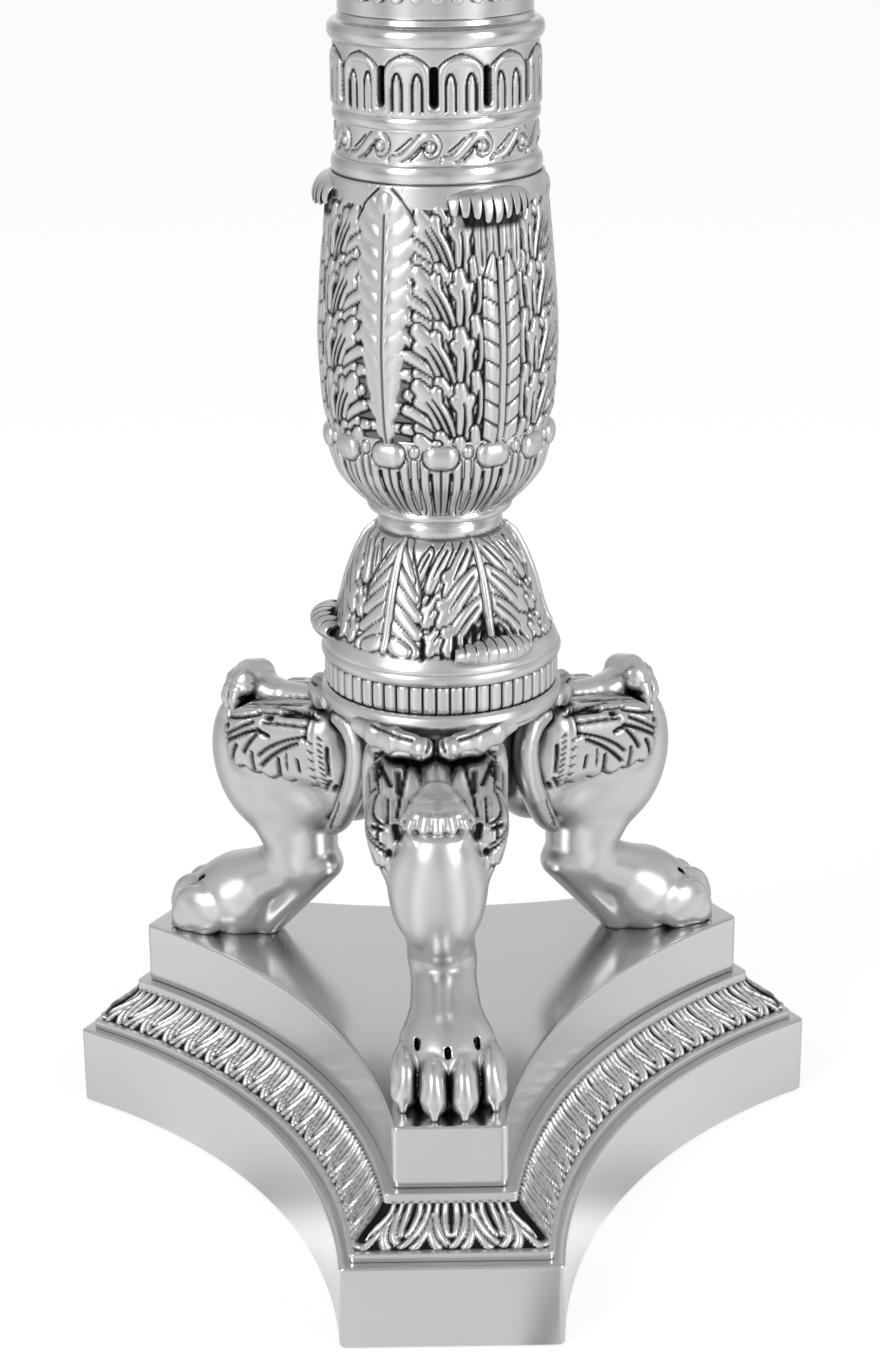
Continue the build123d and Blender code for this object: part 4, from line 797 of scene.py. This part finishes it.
vase = Canvas(62, 62.5)
vase.h += 0.22
for side in (-1, 1):
    for k in (3, 2, 1, 0, -1):
        base = 1.4 + 13.4 * k
        for u0, v0, u1, v1, width, veins in (
            (18, 1.5, 27.6, 4.2, 1.4, ()), (18, 5, 27.2, 9.4, 1.4, ()), (15.5, 1, 25.5, 4, 1.4, ()),
            (14.5, 0.5, 22, 4.6, 1.5, ()), (16.5, 4, 25, 8.8, 1.5, ()), (17, 7, 24.4, 12.6, 1.5, ()),
            (13, 3, 16.4, 15.8, 1.9, (0,)), (8.2, 3, 7.4, 17.2, 1.5, (0,)),
            (11, 0, 11.3, 14.2, 1.9, (0,)), (13.6, 0, 21.8, 14.7, 2.3, (-0.75, 0.75)),
        ):
            ends = (u0 * side, base + v0), (u1 * side, base + v1)
            vase.leaf(*ends, 0.14 * side, width, 0.85, 0.6, veins, 0.6, width > 1.8)
    vase.leaf((1.9 * side, 43), (2.2 * side, 57), 0, 1.7, 0.95)
    vase.leaf((5.2 * side, 43), (5.6 * side, 58), 0, 1.5, 0.95)
    column = [(3.1 * side, -1), (3.1 * side, 20), (3.1 * side, 38), (2.2 * side, 46.5)]
    vase.stroke(column, [2, 2, 2, 2, 1.7, 0.5], 0.95, 0.25, 0.5)
    for k in range(9):
        v = 0.6 + 4.9 * k
        vase.vein([(5.1 * side, v + 2.2), (1.2 * side, v)], 0.36, 0.6)
vase.stroke([(0, -1), (0, 45)], [0.75, 0.7], 1.05, 0.4, 0.45)

LEVELS = [0, 10, 20, 30, 45, 54, 58, 61, 63]
WIDTHS = [0.9, 2.6, 4.6, 6.4, 7.8, 8.3, 7.2, 4, 1.5]
for side, rib in ((-1, -31), (1, 31)):
    vase.stroke([(rib, v) for v in LEVELS], np.interp(np.linspace(0, 63, 24), LEVELS, WIDTHS), 0.55, 0.15, 0.5)
for side, rib in ((-1, -31), (1, 31)):
    for k in range(12):
        v = -2 + 5.2 * k
        wide = np.interp(v + 4, LEVELS, WIDTHS)
        path = [(rib, v), (rib - 0.5 * wide * side, v + 1.4), (rib - (wide - 1.2) * side, v + 4.4)]
        vase.stroke(path, np.array([0.6, 1, 0.7]) * min(2.8, wide), [0.75, 0.86, 0.7], 0.4)
for side, rib in ((-1, -31), (1, 31)):
    vase.stroke([(rib, 0), (rib, 58)], [0.7, 1.2], 1.05, 0.4)
    vase.stroke([(rib, 58.6), (rib, 59.4)], 2.6, 1.4)
    vase.vein([(rib, 0), (rib, 56)], [0.32, 0.36], 0.9)
    vase.vein([(rib - 8.6 * side, 54), (rib - 7 * side, 58.5), (rib - 2 * side, 62)], 0.4, 0.4)
bare = (vase.v > 57.5)[None] & (np.abs(vase.u) < 26)[:, None]
vase.h = np.where(bare, np.maximum(vase.h, 0.6), vase.h)
vase.settle()
# Painted shadow: a dark band on the wall just below each curled leaf tip, where its shade falls.
curl_shadow_band = np.maximum(0, 1 - ((vase.u + 1.5) / 11) ** 2)[:, None]
curl_shadow_band = np.minimum(0.95, 2 * curl_shadow_band) * ramp(52, 53.6, vase.v) * (1 - ramp(57, 58.4, vase.v))
vase.dark = np.maximum(vase.dark, curl_shadow_band)
vase_skin = curve([(26.1, VASE_Z), (27.5, 206), (28.1, 213), (28.5, 223), (28.1, 232), (27.2, 244), (26, 257),
                   (25.4, VASE_RING_Z)], 134)
turned("vase_of_leaves", [(20, VASE_Z), *vase_skin, (20, VASE_RING_Z)], ["vase_body"],
       vase.round_axis(VASE_Z, 3, 31.5), count=600, step=6)


def curl(name, turn, wall, level, reach, rise, half_width, teeth, hang, sweep, gap_shade):
    """An overturned leaf tip: a sheet that leaves the wall, rolls outward and ends in separate teeth.
    Hang is 1 where the teeth point down and -1 where they point up; sweep says how far the sheet and then a tooth
    roll, in degrees, and the last argument how much of a tooth's pitch is painted black at its end: painted shade."""
    across, steps = 181, 34
    t = np.linspace(-1, 1, across)
    swell = np.sqrt(1 - 0.8 * t**2)
    between = np.abs(teeth * (t + 1) / 2 - np.round(teeth * (t + 1) / 2))
    tooth = np.sin(math.pi * between) ** 0.6 * (0.8 + 0.2 * np.cos(7 * t + 0.6))
    fold = np.linspace(0, 1, steps)[:, None]
    a = np.radians(-105 + (sweep[0] + sweep[1] * tooth) * fold)
    layers = []
    for thick in (0, 0.7):
        r = (reach * swell - thick + 0.7 * (tooth - 0.6) * fold**3) * np.cos(a)
        z = -(np.where(a < 0, rise, 0.7 * rise) * swell - thick) * np.sin(a)
        layers.append(np.stack([wall + r, level + hang * (z + 0.2 * rise * t**2)], axis=-1))
    loop = np.concatenate([layers[0], layers[1][::-1]])
    angle = math.radians(turn) + t * half_width / wall
    rows = len(loop)
    quads = np.roll(ring_faces(rows, across)[:, ::-1], 1, axis=1)
    quads = quads.reshape(rows, across, 4)[:, :-1].reshape(-1, 4)
    k = np.arange(steps - 1)
    edge = np.stack([k, rows - 1 - k, rows - 2 - k, k + 1], axis=1) * across
    quads = np.vstack([quads, edge, edge[:, ::-1] + across - 1])
    # Painted shade: the sheet's underside is dark, and so is the end of each gap between the teeth.
    patina = np.full(loop.shape[:2], 0.8)
    patina[:steps] = ramp(0, 0.07, gap_shade * np.clip((fold - 0.5) / 0.5, 0, 1) - between)
    verts = about_axis(loop[..., 0], angle, loop[..., 1])
    shape(name, verts, quads[:, ::hang], [], CARVED, patina)


for k in range(3):
    curl(f"vase_curl_{k}", 28 + 120 * k, 25.7, 257.4, 4.4, 5.6, 10.6, 9, 1, (92, 56), 0.3)
    curl(f"bell_curl_{k}", 27 + 120 * k, 28.2, 150.3, 4.8, 4.2, 10.5, 9, -1, (140, 95), 0.13)


# Bands above the vase

turned("vase_band", hoop(25.4, VASE_RING_Z, WAVE_Z, 1.1), ["vase_ring"], step=0.4)
turned("middle_band", hoop(24.9, MIDDLE_Z, ARCH_Z, 0.9), ["frieze_ring"], step=0.4)
torus = hoop(25.8, TORUS_Z, 299, 1.5)[:-1]
turned("upper_band", [*torus, (23.5, 299.2), (23.2, DRUM_Z), (STEM_BORE, DRUM_Z)], ["torus_ring"], step=0.4)

wave = Canvas(12.57, 8, 0.1)
wave.h += 0.35
wave.stroke([(-6.2, 1.3), (-3.5, 1.9), (-1, 4), (1.2, 6.2), (3.4, 6.6), (4.9, 5), (4.4, 3), (2.9, 2.6),
             (2.3, 3.7)], [0.75, 0.95, 1, 0.9, 0.75, 0.6], [0.8, 1, 1, 1], 0.4, 0.3)
wave.stroke([(3.25, 4.2), (3.3, 4.25)], 1.3, 1.2, 0.5, 0.25)
wave.vein([(-5.2, 3.2), (-3.4, 4.4), (-1.2, 6.4)], 0.3, 0.3)
wave.vein([(-1.6, 1.2), (0.4, 2.6), (1.4, 4.4)], 0.3, 0.3)
wave.h = np.maximum(wave.h, np.where((wave.v < 0.7) | (wave.v > 7.4), 0.7, 0)[None])
wave.settle(0.25)
turned("wave_band", hoop(23.5, WAVE_Z, MIDDLE_Z), ["wave_frieze"], wave.round_axis(WAVE_Z, 12, -12),
       count=480, radius=0.2, step=0.35)

arch = Canvas(13, 15.4, 0.1)
arch.h += 0.55
for side in (-1, 1):
    arch.stroke(flip(side, (6.5, 1.1), (5, 1.6), (4.7, 4), (4.7, 9.5), (3.2, 12.2), (0, 12.8)), 1.15, 1.15, 0.4)
for side in (-1, 1):
    arch.vein(flip(side, (3.7, 1.4), (3.6, 7.6), (2.5, 9.8), (1.4, 7.6), (1.3, 1.4)), 0.45, 0.5)
    arch.vein(flip(side, (5.4, 11.4), (3.4, 13.8), (0, 14.3)), 0.3, 0.3)
    arch.vein(flip(side, (6.5, 3.4), (6.5, 10.4)), 1.15, 1.2)
arch.settle(0.2)
turned("arch_band", hoop(24, ARCH_Z, TORUS_Z), ["arch_frieze"], arch.round_axis(ARCH_Z, 12, 13),
       count=520, radius=0.3, step=0.35)
turned("drum", hoop(23.2, DRUM_Z, DRUM_TOP), ["column_drum"], step=0.6)


# Fringe of leaf tips round the head of the drum, and the column above it

def fringe():
    count, rows = 640, 26
    phi = 2 * np.pi * np.arange(count) / count
    tip = np.abs(np.cos(16 * phi)) ** 0.7
    foot = 308.4 - 4 * tip
    outer = []
    for t in np.linspace(0, 1, rows):
        z = foot * (1 - t) + SHAFT_Z * t
        reach = 24.2 + 0.7 * tip * (1 - t) + 1 * ramp(0.55, 0.85, t)
        outer.append(np.stack([reach, z, np.clip(0.9 - 2.2 * tip, 0, 1) * (1 - ramp(0.2, 0.7, t))], axis=1))
    rest = [np.stack(np.broadcast_arrays(r, z, dark, phi)[:3], axis=1) for r, z, dark in (
        (24.6, SHAFT_Z, 0), (STEM_BORE, SHAFT_Z, 0), (STEM_BORE, DRUM_TOP, 1), (23.3, DRUM_TOP, 1), (23.3, foot, 1))]
    grid = np.array(outer + rest)
    verts = about_axis(grid[..., 0], phi, grid[..., 1])
    shape("fringe", verts, ring_faces(len(grid), count), ["leaf_fringe"], CARVED, grid[..., 2])


fringe()


def fluted(phi, z):
    groove = np.maximum(0, 1 - (off_middle(phi, 16) / 0.72) ** 2) ** 0.5
    ends = ramp(323.5, 326, z) * (1 - ramp(419.5, 422, z))
    return -2.2 * groove * ends, np.clip(groove * 0.9 - 0.45, 0, 1) * ends * 0.8


turned("shaft", [(13, SHAFT_Z), (21.2, SHAFT_Z), (21.2, 323), (20.9, 323.4), (17.1, 422.4), (17.3, 422.8),
                 (17.3, SHAFT_RING_Z), (13, SHAFT_RING_Z)], ["column_shaft"], fluted, count=384, radius=0.3, step=1.6)
turned("shaft_torus", hoop(19.6, SHAFT_RING_Z, CAPITAL_Z, 2.2, ROD_BORE), ["shaft_ring"], step=0.4)

crown = Canvas(20, 34)
for side in (-1, 1):
    for k in range(6):
        v = 1 + 4.6 * k
        wide = 3 + 0.75 * k
        crown.leaf((side * 0.6, v), (side * wide, v + 5.6), -0.12 * side, 1.25, 1.1)
        crown.leaf((side * 9.5, v + 4), (side * (10 - 0.6 * wide), v + 8.6), 0.12 * side, 1.1, 0.8)
    crown.stroke(flip(side, (10, 0), (10, 26)), [0.5, 0.8], 1, 0.5, 0.3)
crown.stroke([(0, 0), (0, 31)], [0.6, 0.9, 0.6], 1.5, 0.5, 0.3)
crown.h[:, crown.v > 31.5] = 0
crown.settle()
capital = curve([(16, CAPITAL_Z), (16.2, 436), (16.6, 441), (18.2, 449.5), (22.2, 458.7), (25.4, 464)], 80)
turned("leaf_capital", [(8, CAPITAL_Z), *capital, (25.6, PAN_Z), (8, PAN_Z)], ["capital"],
       crown.round_axis(CAPITAL_Z, 6), count=504, step=1.5)


def gadroons(phi, z):
    d = off_middle(phi, 48)
    band = ramp(469.5, 470.4, z) * (1 - ramp(472.4, 472.75, z))
    return 0.35 * (np.cos(np.pi * d) - 1) * band, np.clip(d * 1.6 - 1, 0, 1) * band


turned("pan", [(ROD_BORE, PAN_Z), (22, PAN_Z), (33, 465.6), (38.2, 468.4), (39.6, 470.4), (40, 471.6), (39.6, 472.8),
               (38.4, 472.6), (36.6, 470.4), (31.5, 467.9), (22, 467.2), (ROD_BORE, 467.2)], ["drip_pan"], gadroons,
       count=480, step=0.7)


def feed_spring(coil=8.4, wire=0.8, turns=9):
    """The coil under the candle, a piece of its own because it shortens as the candle is pushed down."""
    low, high = (q[2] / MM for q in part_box("feed_spring"))
    a = np.linspace(0, 2 * np.pi * turns, 32 * turns + 1)[:, None]
    b = 2 * np.pi * np.arange(8) / 8
    r, z = coil + wire * np.cos(b), np.linspace(low + wire, high - wire, len(a))[:, None] + wire * np.sin(b)
    verts = np.stack([r * np.cos(a), r * np.sin(a), z], axis=-1).reshape(-1, 3)
    end = np.array([(0, 1, 2, 3), (0, 3, 4, 7), (7, 4, 5, 6)])
    quads = np.vstack([ring_faces(len(a), 8)[:-8, ::-1], end, end[:, ::-1] + 8 * (len(a) - 1)])
    piece = shape("feed_coil", verts, quads, ["feed_spring"], STEEL, body="tube")
    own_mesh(piece)


feed_spring()

finish_cad(SMOOTH, "candle_socket", "candle_tube", "tube_cap", "base_cover", "candle_follower",
           "carrier_collar", "carrier_arms", "gallery_ring")
finish_cad(STEEL, "paw_bolts", "paw_bolt_washers", "leg_screws", "tie_rod", "tie_washers", "tie_nuts",
           "shade_frame", "shade_bottom_wire")
finish_cad(FELT, "base_felt")
finish_cad(WAX, "candle")
finish_cad(WICK, "wick")
finish_cad(PARCHMENT, "shade_skin")
finish_cad(BRAID, "shade_top_trim", "shade_bottom_trim")


# Camera, floor and light

scene = bpy.context.scene
scene.view_settings.view_transform = "Standard"

# Angles in radians, places in metres, the focal length in pixels of the photograph
YAW, PITCH, ROLL, BACK, HIGH, FOCAL = 0.013, 0.348, -0.0087, 0.689854, 0.382815, 2882
PHOTO_HEIGHT, SENSOR = 1364, 36
camera = bpy.data.objects.new("camera", bpy.data.cameras.new("camera"))
scene.collection.objects.link(camera)
camera.data.sensor_width = SENSOR
camera.data.lens = FOCAL / PHOTO_HEIGHT * SENSOR
camera.data.shift_x = -1.4 / PHOTO_HEIGHT
camera.data.clip_start = 0.01
camera.location = (-BACK * math.sin(YAW), -BACK * math.cos(YAW), HIGH)
aim = Matrix.Rotation(-YAW, 3, "Z") @ Matrix.Rotation(math.pi / 2 - PITCH, 3, "X") @ Matrix.Rotation(ROLL, 3, "Z")
camera.rotation_euler = aim.to_euler()
scene.camera = camera

bpy.ops.mesh.primitive_circle_add(vertices=96, radius=9, fill_type="NGON", location=(0, 0, 0))
floor = bpy.context.object
floor.name = "floor"
material, tree, _ = start("floor")
tree.nodes.remove(tree.nodes["Principled BSDF"])
path = add(tree, "LightPath")
# Painted reflection: glossy rays see the floor glow in bright and dark bands round the axis, which the metal shows as
# streaks; camera and transmission rays see it evenly bright.
mirrored = around(tree, "Object", (
    (0, 0.7), (0.08, 0.42), (0.14, 0.95), (0.19, 0.6), (0.25, 0.55), (0.272, 0.55), (0.283, 0.16), (0.294, 0.58),
    (0.31, 0.6), (0.36, 0.95), (0.42, 0.42), (0.5, 0.7), (0.6, 0.34), (0.75, 0.58), (0.9, 0.34), (1, 0.7)))
seen = tint(tree, path.outputs["Is Glossy Ray"], (0, 0, 0), mirrored)
for ray in ("Is Transmission Ray", "Is Camera Ray"):
    seen = tint(tree, path.outputs[ray], seen, (0.74, 0.74, 0.74))
both = add(tree, "AddShader")
parts = add(tree, "Emission", Color=seen), add(tree, "BsdfDiffuse", Color=(0.34, 0.34, 0.34, 1))
for socket, part in zip(both.inputs, parts):
    give(tree, socket, part.outputs[0])
give(tree, tree.nodes["Material Output"].inputs["Surface"], both.outputs[0])
floor.data.materials.append(material)

world = bpy.data.worlds.new("studio")
scene.world = world
world.use_nodes = True
tree = world.node_tree
horizon = around(tree, "Generated", (
    (0, 0.75), (0.1, 0.35), (0.17, 0.9), (0.26, 0.5), (0.36, 0.95), (0.46, 0.4), (0.56, 0.9), (0.66, 0.5),
    (0.76, 0.95), (0.88, 0.45), (1, 0.75)))
split = add(tree, "SeparateXYZ", Vector=add(tree, "TexCoord").outputs["Generated"])
up = add(tree, "MapRange", Value=split.outputs["Z"], From_Min=0.15, From_Max=0.75)
up.interpolation_type = "SMOOTHSTEP"
sky = tint(tree, up.outputs["Result"], horizon, (0.62, 0.62, 0.63))
back = tree.nodes["Background"].inputs
give(tree, back["Color"], tint(tree, add(tree, "LightPath").outputs["Is Camera Ray"], sky, (1, 1, 1)))
give(tree, back["Strength"], 1)


def softbox(name, place, aim, width, height, power):
    lamp = bpy.data.lights.new(name, "AREA")
    lamp.shape = "RECTANGLE"
    lamp.size, lamp.size_y, lamp.energy = width, height, power
    holder = bpy.data.objects.new(name, lamp)
    scene.collection.objects.link(holder)
    holder.location = place
    away = np.array(place, float) - np.array(aim, float)
    holder.rotation_euler = (math.atan2(math.hypot(away[0], away[1]), away[2]), 0, math.atan2(away[0], -away[1]))


softbox("key", (-0.9, -1, 0.9), (0, 0, 0.2), 0.5, 1, 9)
softbox("fill", (1.1, -0.9, 0.7), (0, 0, 0.2), 0.4, 0.9, 7)
